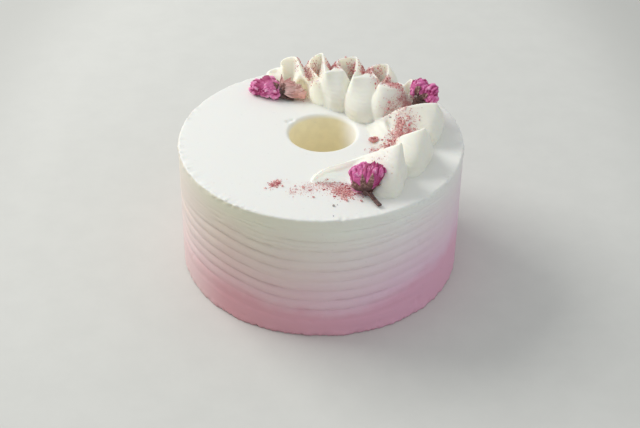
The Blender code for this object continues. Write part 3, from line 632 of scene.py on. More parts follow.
def place_group(nodes, build, **inputs):
    """The outputs of a shared node group, which is built once, with its inputs given by name."""
    group = bpy.data.node_groups.get(build.__name__) or build()
    node = nodes.add("ShaderNodeGroup", inputs, node_tree=group)
    return {socket.name: Value(nodes, socket) for socket in node.outputs}


def end_tree(nodes, made, geometry, material):
    """Makes a tree's geometry real, gives it its material and leaves it as the tree's result."""
    realized = nodes.value("GeometryNodeRealizeInstances", 0, {"Geometry": geometry})
    finished = nodes.value("GeometryNodeSetMaterial", 0, {"Geometry": realized, "Material": material})
    nodes.feed(made["Geometry"], finished)
    return nodes.tree


def new_material(name, **sockets):
    """A Principled material, its Nodes and its shader, with the sockets that are the same all over."""
    material = bpy.data.materials.new(name)
    material.use_nodes = True
    shader = material.node_tree.nodes["Principled BSDF"]
    for label, value in sockets.items():
        shader.inputs[label.replace("_", " ")].default_value = value
    return material, Nodes(material.node_tree), shader


def paint(nodes, shader, skin, height, strength, depth):
    """Gives a shader its colour, and its bump from a height."""
    bump = nodes.value("ShaderNodeBump", 0, {"Height": height, "Strength": strength, "Distance": depth})
    nodes.feed(shader.inputs["Base Color"], skin)
    nodes.feed(shader.inputs["Normal"], bump)


def cream_grain():
    """Fine bubbles and drag marks of whipped cream, as a height and a mask of the bubbles."""
    inputs = {"Place": "Vector", "Bubbles": "Float", "Drag": "Float"}
    outputs = {"Height": "Float", "Pits": "Float"}
    nodes, given, made = new_group("cream_grain", "ShaderNodeTree", inputs, outputs)
    place = given["Place"]
    cells = {"Vector": place, "Scale": 420.0, "Randomness": 1.0}
    bubble = nodes.spread(nodes.value("ShaderNodeTexVoronoi", "Distance", cells), 0.10, 0.26, 1.0, 0.0)
    sparse = nodes.spread(nodes.noise(place, 260.0), 0.58, 0.66)
    pits = bubble * sparse * given["Bubbles"]
    fine = nodes.noise(place, 900.0, 3.0, 0.6)
    broad = nodes.noise(place, 120.0, 3.0, 0.55)
    drag = (fine * 0.35 + broad) * given["Drag"]
    nodes.feed(made["Height"], drag - pits)
    nodes.feed(made["Pits"], pits)
    return nodes.tree


def berry_dust():
    """Tints a colour with the finest berry powder where the surface's dust attribute asks for it."""
    inputs = {"Color": "Color", "Place": "Vector", "Red": "Color", "Rose": "Color"}
    nodes, given, made = new_group("berry_dust", "ShaderNodeTree", inputs, {"Color": "Color"})
    amount = nodes.stored("dust")
    grain = nodes.noise(given["Place"], 1500.0, 3.0, 0.7)
    cloud = nodes.noise(given["Place"], 260.0, 3.0, 0.6)
    limit = 0.78 - amount * 0.42
    dust = nodes.math("MULTIPLY", grain * 0.6 + cloud * 0.4 - limit, 9.0, clamp=True)
    dust = dust * nodes.spread(amount, 0.02, 0.3)
    hue = nodes.mix(nodes.spread(cloud, 0.4, 0.62), given["Rose"], given["Red"])
    soft = nodes.math("ADD", dust * 0.5, amount * 0.26, clamp=True)
    nodes.feed(made["Color"], nodes.mix(soft, given["Color"], hue))
    return nodes.tree


def paint_dusted(nodes, shader, skin, place, crumbs, height, strength, depth):
    """Paints a shader with a skin that the berry powder lies on."""
    dusted = place_group(nodes, berry_dust, Color=skin, Place=place, Red=crumbs.red, Rose=crumbs.rose)
    paint(nodes, shader, dusted["Color"], height, strength, depth)


# --- meshes ---------------------------------------------------------------------------------------------


def clamp(value, low=0.0, high=1.0):
    return min(max(value, low), high)


def growth(value, none, full):
    """Goes straight from 0 to 1 as the value goes from none to full."""
    return clamp((value - none) / (full - none))


def new_piece(name, mesh, material=None):
    piece = bpy.data.objects.new(name, mesh)
    bpy.context.scene.collection.objects.link(piece)
    if material:
        mesh.materials.append(material)
    return piece


def finish_piece(piece, slot, *nodes):
    """The piece rides on the cake and stands for these nodes, which it hides. The slot is not used."""
    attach(piece, BODY)
    if nodes:
        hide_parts(*nodes)


def keep_evaluated(piece):
    """Turns a piece with its modifiers into a plain mesh."""
    graph = bpy.context.evaluated_depsgraph_get()
    mesh = bpy.data.meshes.new_from_object(piece.evaluated_get(graph), depsgraph=graph)
    old = piece.data
    piece.modifiers.clear()
    piece.data = mesh
    mesh.name = piece.name
    bpy.data.meshes.remove(old)


def run_tree(piece, tree, inputs):
    """Runs a Geometry Nodes tree on a piece and keeps the result as its plain mesh."""
    modifier = piece.modifiers.new(tree.name, "NODES")
    modifier.node_group = tree
    sockets = {item.name: item.identifier for item in tree.interface.items_tree if item.in_out == "INPUT"}
    for name, value in inputs.items():
        modifier[sockets[name]] = value
    keep_evaluated(piece)


def blend_to_one(piece, voxel, rounds):
    """Joins a piece's parts into one closed body, and softens it this many times."""
    blend = piece.modifiers.new("one_body", "REMESH")
    blend.mode = "VOXEL"
    blend.voxel_size = voxel
    piece.modifiers.new("soft", "SMOOTH").iterations = rounds
    keep_evaluated(piece)


def kept_mesh(build, name):
    """A new mesh of what was built."""
    mesh = bpy.data.meshes.new(name)
    build.to_mesh(mesh)
    build.free()
    return mesh


def loft_mesh(name, sections, looped=False):
    """A closed solid through like sections, with flat ends unless it is looped."""
    build = bmesh.new()
    rings = [[build.verts.new(point) for point in section] for section in sections]
    count = len(rings[0])
    for first, second in zip(rings, rings[1:] + (rings[:1] if looped else [])):
        for k in range(count):
            after = (k + 1) % count
            build.faces.new((first[k], first[after], second[after], second[k]))
    if not looped:
        build.faces.new(rings[0][::-1])
        build.faces.new(rings[-1])
    bmesh.ops.recalc_face_normals(build, faces=build.faces)
    return kept_mesh(build, name)


def read_points(mesh):
    points = np.empty(len(mesh.vertices) * 3, dtype=np.float32)
    mesh.vertices.foreach_get("co", points)
    return points.reshape(-1, 3).astype(float)


def read_normals(mesh):
    normals = np.empty(len(mesh.vertices) * 3, dtype=np.float32)
    mesh.vertex_normals.foreach_get("vector", normals)
    return normals.reshape(-1, 3)


def write_points(mesh, points):
    mesh.vertices.foreach_set("co", points.astype(np.float32).ravel())
    mesh.update()


def lift_above(mesh, points, lowest):
    """Writes the points, with none of them below a height."""
    points[:, 2] = np.maximum(points[:, 2], lowest)
    write_points(mesh, points)


def store(mesh, name, values):
    """Keeps a number for each point of a mesh."""
    mesh.attributes.new(name, "FLOAT", "POINT").data.foreach_set("value", values)


def mesh_lists(mesh):
    return [vertex.co.copy() for vertex in mesh.vertices], [list(face.vertices) for face in mesh.polygons]


def catmull(values, step, share):
    """Value on a smooth curve through a list, a share of the way past one of its points."""
    last = len(values) - 1
    before, here, after, beyond = (values[clamp(step + k, 0, last)] for k in (-1, 0, 1, 2))
    slope = (after - before) / 2.0
    next_slope = (beyond - here) / 2.0
    rest = after - here
    bend = 3.0 * rest - 2.0 * slope - next_slope
    twist = slope + next_slope - 2.0 * rest
    return here + share * (slope + share * (bend + share * twist))


def above_top(point):
    """Metres in the world, of a point in millimetres from the axis and the cake's top."""
    return Vector(point[:3]) * MM + Vector((0.0, 0.0, CAKE_HEIGHT))


# --- the coat -------------------------------------------------------------------------------------------

BASE_TURNS = (0.0, 45.0)  # degrees up the rounded base edge
RIM_BAND = 3.0 * MM  # the lumps reach this far from the rim
# The hole's wall takes a yellowish cream with painted warm bounce light; the lip's cream gives way to it
LIP_FADE = 1.8  # how late on the lip the cream gives way to sponge

# Heights in millimetres between which the comb's marks set in or fade
RISE_SETS_IN = (2.0, 18.0)
RISE_FADES = (62.0, 78.5)
LINES_SET_IN = (9.0, 16.5)
LINES_WEAKEN = (56.0, 66.0)
LINES_FADE = (73.0, 77.5)
STROKES_SET_IN = (52.0, 62.0)
STROKES_FADE = (73.0, 77.0)
HEM_FADES = (1.0, 5.0)
LEFT_END = 30.0  # how much lower the marks end at the far left, whose own heights these are
LEFT_LINES_FADE = (74.0, 82.0)
LEFT_STROKES_FADE = (82.0, 90.0)

COMB_INPUTS = (
    "Line Pitch",
    "Lowest Line",
    "Line Depth",
    "Line Rise",
    "Rise Tilt",
    "Stroke Pitch",
    "Stroke Depth",
    "Streak Depth",
    "Swell",
    "Rim Lumps",
    "Hem",
)


def coat_rings(settings):
    """Rings of the coat: centre, radius, height and comb height, and how much each is side, rim and hole.

    They run from the base's outer edge up the side, over the rim and the top, down the hole and back under
    the base. The comb height, in millimetres, is the height that a comb line has at the front.
    """
    rows = []
    axis = np.zeros(2)

    def add(centre, radius, height, comb, side=0.0, rim=0.0, hole=0.0):
        rows.append((centre[0], centre[1], radius, height, comb / MM, side, rim, hole))

    for turn in BASE_TURNS:
        away = math.radians(turn)
        low = BASE_EDGE * (1.0 - math.cos(away))
        add(axis, CAKE_RADIUS - BASE_EDGE * (1.0 - math.sin(away)), low, low)
    step = settings.line_pitch / LINE_RINGS
    height = settings.lowest_line - step * math.floor((settings.lowest_line - BASE_EDGE) / step)
    last = CAKE_HEIGHT - RIM_EDGE
    while height < last - LEAST_STEP:
        add(axis, CAKE_RADIUS, height, height, 1.0, max(0.0, 1.0 - (last - height) / RIM_BAND))
        height += step if height < CLOSE_FROM else settings.line_pitch / CLOSE_RINGS
    for ring in range(RIM_RINGS + 1):
        away = 0.5 * math.pi * ring / RIM_RINGS
        out = CAKE_RADIUS - RIM_EDGE * (1.0 - math.cos(away))
        height = last + RIM_EDGE * math.sin(away)
        add(axis, out, height, height, 0.0, 1.0)
    lip_radius = HOLE_RADIUS + HOLE_LIP
    top_radius = CAKE_RADIUS - RIM_EDGE
    band = (top_radius - lip_radius - LIP_BAND) / (top_radius - lip_radius)
    shares = [band * (ring + 1) / TOP_RINGS for ring in range(TOP_RINGS)]
    shares += [band + (1.0 - band) * (ring + 1) / LIP_BAND_RINGS for ring in range(LIP_BAND_RINGS)]
    for share in shares:
        radius = top_radius + share * (lip_radius - top_radius)
        rim = max(0.0, 1.0 - (top_radius - radius) / RIM_BAND)
        add(share * HOLE_CENTRE, radius, CAKE_HEIGHT, CAKE_HEIGHT, 0.0, rim)
    for ring in range(1, LIP_RINGS + 1):
        away = 0.5 * math.pi * ring / LIP_RINGS
        height = CAKE_HEIGHT - HOLE_LIP * (1.0 - math.cos(away))
        hole = (ring / LIP_RINGS) ** LIP_FADE
        add(HOLE_CENTRE, lip_radius - HOLE_LIP * math.sin(away), height, CAKE_HEIGHT, hole=hole)
    for ring in range(1, WALL_RINGS + 1):
        height = (CAKE_HEIGHT - HOLE_LIP) * (1.0 - ring / WALL_RINGS)
        add(HOLE_CENTRE, HOLE_RADIUS, height, CAKE_HEIGHT, hole=1.0)
    low_radius = CAKE_RADIUS - BASE_EDGE
    for ring in range(1, UNDER_RINGS):
        share = 1.0 - ring / UNDER_RINGS
        add(share * HOLE_CENTRE, low_radius + share * (HOLE_RADIUS - low_radius), 0.0, 0.0)
    return np.array(rows)


def coat_mesh(settings):
    """A closed grid through the coat's rings, with the attributes that the comb and the colours follow."""
    rows = coat_rings(settings)
    turn = np.linspace(0.0, math.tau, COAT_STEPS, endpoint=False)
    x = rows[:, 0:1] + rows[:, 2:3] * np.cos(turn)
    y = rows[:, 1:2] + rows[:, 2:3] * np.sin(turn)
    z = np.repeat(rows[:, 3:4], COAT_STEPS, axis=1)
    index = np.arange(len(rows) * COAT_STEPS).reshape(len(rows), COAT_STEPS)
    after = np.roll(index, -1, axis=1)
    faces = np.stack((index, after, np.roll(after, -1, axis=0), np.roll(index, -1, axis=0)), axis=-1)
    mesh = bpy.data.meshes.new("coat_of_cream")
    mesh.from_pydata(np.stack((x, y, z), axis=-1).reshape(-1, 3), [], faces.reshape(-1, 4))
    for column, name in enumerate(("comb_height", "side", "rim", "hole"), start=4):
        store(mesh, name, np.repeat(rows[:, column], COAT_STEPS))
    return mesh


def comb_tree(material):
    """The comb's lines: they climb away from the front, fade and waver, with fine streaks between them.

    Heights and depths are in millimetres, and angles run to the right from the front.
    """
    inputs = {"Geometry": "Geometry"} | {name: "Float" for name in COMB_INPUTS}
    nodes, given, made = new_group("comb_lines", "GeometryNodeTree", inputs, {"Geometry": "Geometry"})

    def furrow(count, power):
        """1 in a sharp furrow at each whole count, and 0 half way between."""
        return 1.0 - abs(nodes.math("SINE", count * math.pi)) ** power

    def uneven(place, scale, detail=2.0, roughness=0.5):
        """Noise about 0."""
        return nodes.noise(place, scale, detail, roughness) - 0.5

    place = nodes.value("GeometryNodeInputPosition")
    x, y, z = nodes.parts(place)
    angle = nodes.math("ARCTAN2", x, y * -1.0)
    sine = nodes.math("SINE", angle)
    cosine = nodes.math("COSINE", angle)
    height = nodes.named("comb_height")
    side = nodes.named("side")
    around = nodes.vector(sine, cosine, height * 0.02)
    left_height = height - sine * LEFT_END

    away = nodes.spread(abs(angle), math.radians(10.0), math.radians(45.0))
    rise = given["Line Rise"] - given["Rise Tilt"] * sine
    faded = nodes.spread(height, *RISE_SETS_IN) * nodes.spread(height, *RISE_FADES, 1.0, 0.0)
    rise = rise * away * (faded * side)

    line = (height - given["Lowest Line"]) / given["Line Pitch"] + uneven(around, 3.2, 3.0) * 0.34
    number = nodes.math("ROUND", line)
    each = nodes.noise(nodes.vector(sine, cosine, number * 5.3), 1.7)
    strength = nodes.spread(each, 0.30, 0.62, 0.35, 1.15)
    front = nodes.math("COSINE", angle + math.radians(20.0))
    back = nodes.math("COSINE", angle - math.radians(165.0))
    shown = nodes.math("MAXIMUM", nodes.spread(front, 0.22, 0.78), nodes.spread(back, -0.1, 0.8, 0.0, 0.7))
    shown = shown * 0.82 + 0.18
    ends = nodes.spread(height, *LINES_SET_IN, 0.12, 1.0) * nodes.spread(height, *LINES_FADE, 1.0, 0.0)
    ends = ends * nodes.spread(left_height, *LEFT_LINES_FADE, 1.0, 0.06)
    weak = nodes.spread(height, *LINES_WEAKEN, 1.0, 0.42)
    depth = furrow(line, 0.45) * strength * (shown * weak) * ends * given["Line Depth"]

    stroke = height / given["Stroke Pitch"] + nodes.noise(around, 5.0, 3.0) * 1.6
    number = nodes.math("ROUND", stroke)
    broken = nodes.spread(nodes.noise(nodes.vector(sine, cosine, number * 3.7), 3.0), 0.42, 0.60)
    ends = nodes.spread(height, *STROKES_SET_IN) * nodes.spread(height, *STROKES_FADE, 1.0, 0.0)
    ends = ends * nodes.spread(left_height, *LEFT_STROKES_FADE, 1.0, 0.0)
    depth = depth + furrow(stroke, 0.6) * broken * (ends * shown) * given["Stroke Depth"]

    drawn = nodes.vector(sine * 1.6, cosine * 1.6, height * 0.55)
    streak = uneven(drawn, 1.0, 4.0, 0.65) * given["Streak Depth"] * side
    swell = uneven(place, 30.0) * given["Swell"]
    patchy = nodes.spread(nodes.noise(place, 26.0), 0.42, 0.62, 0.35, 1.3)
    lumps = uneven(place, 260.0, 4.0, 0.7) * patchy * (given["Rim Lumps"] * 2.0) * nodes.named("rim")
    hem = uneven(place, 330.0, 4.0, 0.7) + uneven(place, 90.0) * 0.6
    hem = hem * nodes.spread(height, *HEM_FADES, 1.0, 0.0) * given["Hem"]
    resting = nodes.spread(z, 0.0, 0.3 * MM)
    out = (streak + swell + (lumps + hem - depth)) * resting * MM

    push = nodes.vector_math("SCALE", nodes.value("GeometryNodeInputNormal"), out)
    offset = nodes.vector_math("ADD", push, nodes.vector(0.0, 0.0, rise * MM))
    moved = nodes.value("GeometryNodeSetPosition", 0, {"Geometry": given["Geometry"], "Offset": offset})
    return end_tree(nodes, made, moved, material)


def press_dents(mesh):
    """Presses the small dents into the side and the top."""
    spots = []
    for pit in PITS:
        turn = math.radians(pit.angle)
        place = (CAKE_RADIUS * math.cos(turn), CAKE_RADIUS * math.sin(turn), pit.height * MM)
        spots.append((place, (math.cos(turn), math.sin(turn), 0.0), pit.size * MM, pit.depth * MM))
    for dent in DENTS:
        place = (dent.x * MM, dent.y * MM, CAKE_HEIGHT)
        spots.append((place, (0.0, 0.0, 1.0), dent.size * MM, dent.depth * MM))
    points = read_points(mesh)
    for place, out, size, depth in spots:
        far = np.linalg.norm(points - np.array(place), axis=1) / size
        points -= np.outer(depth * np.exp(-far * far), out)
    lift_above(mesh, points, 0.0)


def dust_at(points, amount, flat_share):
    """How much powder or how many crumbs the patches drop at each point, with a share of the flat top's."""
    total = np.zeros(len(points))
    for patch in PATCHES:
        turn = math.radians(patch.turn)
        x = points[:, 0] / MM - patch.x
        y = points[:, 1] / MM - patch.y
        z = (points[:, 2] - CAKE_HEIGHT) / MM - patch.z
        along = (x * math.cos(turn) + y * math.sin(turn)) / patch.along
        across = (y * math.cos(turn) - x * math.sin(turn)) / patch.across
        most = getattr(patch, amount) * (flat_share if patch.z < FLAT_PATCH else 1.0)
        total = np.maximum(total, most * np.exp(-(along ** 2 + across ** 2 + (z / PATCH_TALL) ** 2)))
    return total


def store_dust(mesh, flat_share=1.0):
    """Writes the patches into the mesh, less where the surface is steep."""
    points = read_points(mesh)
    level = np.clip(UPRIGHT_DUST + read_normals(mesh)[:, 2] * LEVEL_DUST, 0.0, 1.0)
    store(mesh, "dust", dust_at(points, "powder", flat_share) * level)
    store(mesh, "crumb_fall", dust_at(points, "crumbs", flat_share) * level)


def coat_material(settings, crumbs):
    """Cream that fades down the side from ivory through lilac to pink, along the comb's waves, with painted
    light and shade on the side, in the hole and in the bubbles' pits.
    """
    material, nodes, shader = new_material(
        "coat_cream",
        Roughness=0.55,
        Subsurface_Weight=0.12,
        Subsurface_Radius=(0.9, 0.65, 0.45),
        Subsurface_Scale=2.0 * MM,
        Specular_IOR_Level=0.32,
        Emission_Strength=1.0,
    )
    place = nodes.place()
    across = nodes.parts(place)[0]
    height = nodes.stored("comb_height")
    cloud = nodes.noise(place, 38.0, 3.0, 0.55) - 0.5
    smear = nodes.noise(place, 150.0, 4.0, 0.6) - 0.5
    sweep = nodes.spread(across, 30.0 * MM, 80.0 * MM, 0.0, -9.0)
    level = (height + (cloud * 16.0 + smear * 4.0 + sweep)) / (CAKE_HEIGHT / MM)
    bands = (
        (0.05, settings.pink),
        (0.17, settings.pink),
        (0.28, settings.mauve),
        (0.48, settings.lilac),
        (0.93, settings.ivory),
    )
    skin = nodes.ramp(level, bands)
    # Painted light across the side: a warm cast of bounced light on the left, a cool shade on the right
    right = nodes.spread(across, -60.0 * MM, 60.0 * MM)
    skin = nodes.mix(1.0, skin, nodes.mix(right, settings.warm_cast, settings.cool_cast), "MULTIPLY")
    # Painted light: the far left of the side is paler, where the window's light grazes it
    skin = nodes.mix(nodes.spread(across, -50.0 * MM, -80.0 * MM, 0.0, 0.5), skin, settings.pale_left)
    skin = nodes.mix(nodes.spread(height, 79.0, 79.9), skin, settings.white)
    # The hole's wall: yellowish cream with painted warm bounce light, and painted light whitening its right
    # part where the window reaches
    sponge = nodes.mix(nodes.spread(smear, -0.2, 0.2), settings.sponge, darker(settings.sponge, 0.93))
    sponge = nodes.mix(nodes.spread(across, 9.0 * MM, 19.0 * MM), sponge, settings.white)
    hole = nodes.stored("hole")
    skin = nodes.mix(hole, skin, sponge)
    # Painted light: the hole's wall glows, standing in for light bounced into the hole
    nodes.feed(shader.inputs["Emission Color"], nodes.mix(hole, BLACK, settings.sponge_glow))
    grain = place_group(nodes, cream_grain, Place=place, Bubbles=0.8, Drag=0.5)
    # Painted shade: the bubbles' pits are darkened
    skin = nodes.mix(grain["Pits"] * 0.25, skin, darker(settings.white, 0.6))
    paint_dusted(nodes, shader, skin, place, crumbs, grain["Height"], 0.35, 0.25 * MM)
    return material


class CAKE_OT_coat(bpy.types.Operator):
    """Coat of cream with its comb lines, rim and centre hole"""

    bl_idname = "cake.coat"
    bl_label = "Coat of Cream"

    def execute(self, context):
        settings = context.scene.cake_coat
        material = coat_material(settings, context.scene.cake_crumbs)
        piece = new_piece("coat_of_cream", coat_mesh(settings), material)
        comb = {name: getattr(settings, name.lower().replace(" ", "_")) / MM for name in COMB_INPUTS}
        run_tree(piece, comb_tree(material), comb)
        press_dents(piece.data)
        piece.data.shade_smooth()
        store_dust(piece.data)
        finish_piece(piece, "cream_coat", "cake_body")
        return {"FINISHED"}


# --- the ruffle -----------------------------------------------------------------------------------------

STRAIGHTEST = 0.4  # the least power of a side's curve
FOOT_CUT = -0.3 * MM  # where the ribbon is cut flat, from the cake's top
MARKS_REACH = 6.0  # millimetres up from the foot that the level marks are strong

SKIN = 0.05 * MM  # a wall is measured from this far inside it
THICKEST = 12.0 * MM  # cream that still lets light through
THIN_GLOW = 3.0 * MM  # the light fades with the wall's thickness like this
DEEP_GLOW = 10.0 * MM  # and in the tail and the first fold
FIRST_FOLD_GLOW = 0.6
# Where the painted glow grows, from none to full, in millimetres along X and along Y
TAIL = ((27.0, 20.0), (-30.0, -34.0))
FIRST_FOLD = ((4.0, -4.0), (30.0, 34.0))
REAR = (-10.0, 15.0)  # along Y
LEFT = (8.0, -8.0)  # along X


def ribbon_sections(crest_half):
    """Closed cross-sections of the ribbon along its crest, each a thin crest over two bulging sides."""
    places = [Vector((row.x, row.y, row.height)) * MM for row in RIBBON]
    sides = [[row.left for row in RIBBON], [row.right for row in RIBBON]]
    feet = [[Vector((x, y, 0.0)) * MM for x, y, _, _ in side] for side in sides]
    shapes = [[Vector(side[2:]) for side in rows] for rows in sides]
    samples = [(i, k / PATH_STEPS) for i in range(len(RIBBON) - 1) for k in range(PATH_STEPS)]
    samples.append((len(RIBBON) - 2, 1.0))
    sections = []
    for sample in samples:
        crest = catmull(places, *sample)
        crest.z = max(crest.z, crest_half)
        ground = Vector((crest.x, crest.y, 0.0))
        section = []
        for way in (0, 1):
            out = catmull(feet[way], *sample) - ground
            power, bulge = catmull(shapes[way], *sample)
            ahead = out.normalized()
            side = []
            for step in range(SIDE_STEPS + 1):
                share = step / SIDE_STEPS
                across = out.length * (1.0 - (1.0 - share) ** max(power, STRAIGHTEST))
                across += crest_half + bulge * MM * math.sin(math.pi * share)
                side.append(ground + ahead * across + Vector((0.0, 0.0, crest.z * (1.0 - share))))
            side.append(side[-1] - Vector((0.0, 0.0, RIBBON_SINK)))
            section.append(side)
        sections.append(section[0][::-1] + section[1])
    return sections


def cut_foot(mesh):
    """Cuts the ribbon flat where it stands on the cake, and closes it."""
    build = bmesh.new()
    build.from_mesh(mesh)
    geometry = build.verts[:] + build.edges[:] + build.faces[:]
    level = {"plane_co": (0.0, 0.0, FOOT_CUT), "plane_no": (0.0, 0.0, 1.0)}
    cut = bmesh.ops.bisect_plane(build, geom=geometry, clear_inner=True, **level)
    outline = [item for item in cut["geom_cut"] if isinstance(item, bmesh.types.BMEdge)]
    bmesh.ops.remove_doubles(build, verts=build.verts, dist=0.01 * MM)
    bmesh.ops.holes_fill(build, edges=[edge for edge in outline if edge.is_valid])
    build.to_mesh(mesh)
    build.free()


def ripple(mesh, height):
    """Fine unevenness of the piped cream: slow swells, and faint marks that run level round the folds."""
    points = read_points(mesh)
    for index, (point, normal) in enumerate(zip(points.copy(), read_normals(mesh))):
        x, y, z = point / MM
        marks = 0.45 + math.exp(-max(z, 0.0) / MARKS_REACH)
        # Share of the height, and waves per millimetre level and upright
        layers = ((1.4, 0.10, 0.10), (marks, 0.05, 0.9), (0.22, 0.55, 0.55))
        rise = sum(share * noise.noise((x * level, y * level, z * up)) for share, level, up in layers)
        points[index] += normal * height * rise
    write_points(mesh, points)


def store_glow(mesh):
    """Writes the painted glow: how much of the window's light comes through the thin walls to their shaded
    side, and painted light on the front faces of the tail and the first fold.
    """
    tree = BVHTree.FromPolygons(*mesh_lists(mesh))
    toward = Vector(WINDOW_PLACE).normalized()
    glow = []
    for vertex in mesh.vertices:
        normal = vertex.normal
        wall = tree.ray_cast(vertex.co - normal * SKIN, -normal, THICKEST)[3]
        x, y, _ = vertex.co / MM
        share = max(growth(y, *REAR), 0.15) * (1.0 + 0.55 * growth(x, *LEFT))
        passed = share * clamp(0.35 - normal.dot(toward)) * math.exp(-wall / THIN_GLOW) if wall else 0.0
        tail, first = (growth(x, *across) * growth(y, *along) for across, along in (TAIL, FIRST_FOLD))
        deep = clamp(-normal.y * 2.0) * math.exp(-(wall or 0.0) / DEEP_GLOW)
        glow.append(max(passed, max(tail, FIRST_FOLD_GLOW * first) * deep))
    store(mesh, "glow", glow)


def ruffle_material(settings, crumbs):
    """Smooth piped cream, slightly translucent, with painted glow for the light through its thin walls, and
    berry powder in its hollows.
    """
    material, nodes, shader = new_material(
        "piped_cream",
        Roughness=0.42,
        Subsurface_Weight=0.35,
        Subsurface_Radius=(1.0, 0.8, 0.5),
        Subsurface_Scale=3.0 * MM,
        Specular_IOR_Level=0.4,
        Emission_Strength=1.0,
    )
    place = nodes.place()
    behind = nodes.parts(place)[1]
    # Painted light: the glow attribute lights the cream as emission, neutral on the tail and warm elsewhere
    tint = nodes.mix(nodes.spread(behind, -30.0 * MM, -20.0 * MM), settings.tail_glow, settings.glow)
    nodes.feed(shader.inputs["Emission Color"], nodes.mix(nodes.stored("glow"), BLACK, tint))
    cloud = nodes.spread(nodes.noise(place, 60.0), 0.35, 0.65)
    skin = nodes.mix(cloud, settings.cream, darker(settings.cream, 0.97))
    grain = place_group(nodes, cream_grain, Place=place, Bubbles=0.6, Drag=0.35)
    paint_dusted(nodes, shader, skin, place, crumbs, grain["Height"], 0.3, 0.2 * MM)
    return material


class CAKE_OT_ruffle(bpy.types.Operator):
    """Ruffle of piped cream on the cake's top"""

    bl_idname = "cake.ruffle"
    bl_label = "Piped Ruffle"

    def execute(self, context):
        settings = context.scene.cake_ruffle
        piece = new_piece("piped_ruffle", loft_mesh("piped_ruffle", ribbon_sections(settings.crest)))
        blend_to_one(piece, settings.voxel, 2)
        cut_foot(piece.data)
        ripple(piece.data, settings.ripple)
        write_points(piece.data, read_points(piece.data) + (0.0, 0.0, CAKE_HEIGHT))
        piece.data.materials.append(ruffle_material(settings, context.scene.cake_crumbs))
        piece.data.shade_smooth()
        store_glow(piece.data)
        store_dust(piece.data, RUFFLE_SHARE)
        finish_piece(piece, "piped_cream", "piped_cream")
        return {"FINISHED"}


# --- the blossoms ---------------------------------------------------------------------------------------

LYING = 0.05 * MM  # the blossoms stay this far above the cake's top
CREASE = 0.28  # half width of a crease in the noise that draws it
FOLD_BEND = 2.4  # millimetres that the folds wander
FOLD_SEEDS = (7.0, 3.0, 5.0)  # for the cross folds, ridges and fine folds
CALYX_CRINKLE = 0.6  # of the petals' crinkle
FADED_CRINKLE = 0.45 * MM
FRESH_CRINKLE = 1.0 * MM
SEPAL_ROWS = 10
SEPAL_COLUMNS = 7
SEPAL_HALF_WIDTH = 1.9 * MM
SEPAL_REACH = 20.0 * MM  # from this far out, sepals are laid on the petals
SEPAL_ROOT = 0.12  # share of a sepal that hides under the calyx
SEPAL_NEAREST = 1.4  # millimetres from the head's axis
SEPAL_LOOSE = 1.6  # the same, where there is no petal under the sepal
SEPAL_CLEAR = 0.30  # millimetres off the petals
SEPAL_TIP_LIFT = 0.5  # and this much more at the tip
SEPAL_EDGE_LIFT = 0.25  # and at the edges
STEM_STEPS = 24
STEM_CORNERS = 12
STEM_LOOK = 0.05  # how far ahead and back a ring looks for the stem's direction
STEM_FLARE = 1.1
FLARE_FROM = 0.62  # share of the stem's length where it starts to widen
STEM_END = 0.75  # of the radius, at either end
STRAND_APART = 0.8 * STEM_RADIUS  # from the stem's middle to each strand's


def head_frame(blossom):
    """The head's base, and its axis, width and depth directions."""
    base = above_top(blossom.base)
    axis = (above_top(blossom.top) - base).normalized()
    wide = Vector((0.0, 0.0, 1.0)).cross(-axis).normalized()
    return base, axis, wide, axis.cross(wide)


def joined_lumps(name, lumps, material):
    """Ellipsoids joined into one closed body."""
    build = bmesh.new()
    for lump in lumps:
        sizes = Matrix.Diagonal((lump.wide * MM, lump.deep * MM, lump.tall * MM, 1.0))
        place = Matrix.Translation(above_top(lump)) @ sizes
        bmesh.ops.create_icosphere(build, subdivisions=3, radius=1.0, matrix=place)
    piece = new_piece(name, kept_mesh(build, name))
    blend_to_one(piece, PETAL_VOXEL, 3)
    piece.data.materials.append(material)
    return piece


def fold(place, seed):
    """0 in sharp creases and 1 on the round folds between them."""
    return min(abs(noise.noise((place[0] + seed, place[1], place[2]))) / CREASE, 1.0)


def crumple(piece, blossom, height, seed):
    """Crumples a body into creased folds that run along the head, and stores how deep each place lies."""
    base, axis, wide, deep = head_frame(blossom)
    cross_seed, ridge_seed, fine_seed = (seed + more for more in FOLD_SEEDS)
    points = read_points(piece.data)
    creases = []
    for index, (point, normal) in enumerate(zip(points.copy(), read_normals(piece.data))):
        from_base = (Vector(point) - base) / MM
        w, d, a = from_base.dot(wide), from_base.dot(deep), from_base.dot(axis)
        bend = FOLD_BEND * noise.noise((w * 0.16, d * 0.16, a * 0.16 + seed))
        rise = 0.42 * fold(((w + bend) * 0.25, (d - bend) * 0.25, a * 0.07), seed)
        rise += 0.26 * fold((w * 0.22, d * 0.22, (a + bend) * 0.24), cross_seed)
        rise += 0.30 * (1.0 - fold(((w - bend) * 0.42, d * 0.42, a * 0.13), ridge_seed))
        rise += 0.16 * fold(((w + bend) * 1.1, d * 1.1, a * 0.5), fine_seed)
        points[index] += normal * height * (rise - 0.45)
        creases.append(1.0 - growth(rise, 0.15, 0.95))
    lift_above(piece.data, points, CAKE_HEIGHT + LYING)
    store(piece.data, "crease", creases)
    piece.data.shade_smooth()


def add_sheet(build, grid, along_layer):
    """Adds a grid of points as faces, with their place along the sheet."""
    rows = []
    for row, points in enumerate(grid):
        line = [build.verts.new(point) for point in points]
        for vertex in line:
            vertex[along_layer] = row / (len(grid) - 1)
        rows.append(line)
    for first, second in zip(rows, rows[1:]):
        for k in range(len(first) - 1):
            build.faces.new((first[k], first[k + 1], second[k + 1], second[k]))


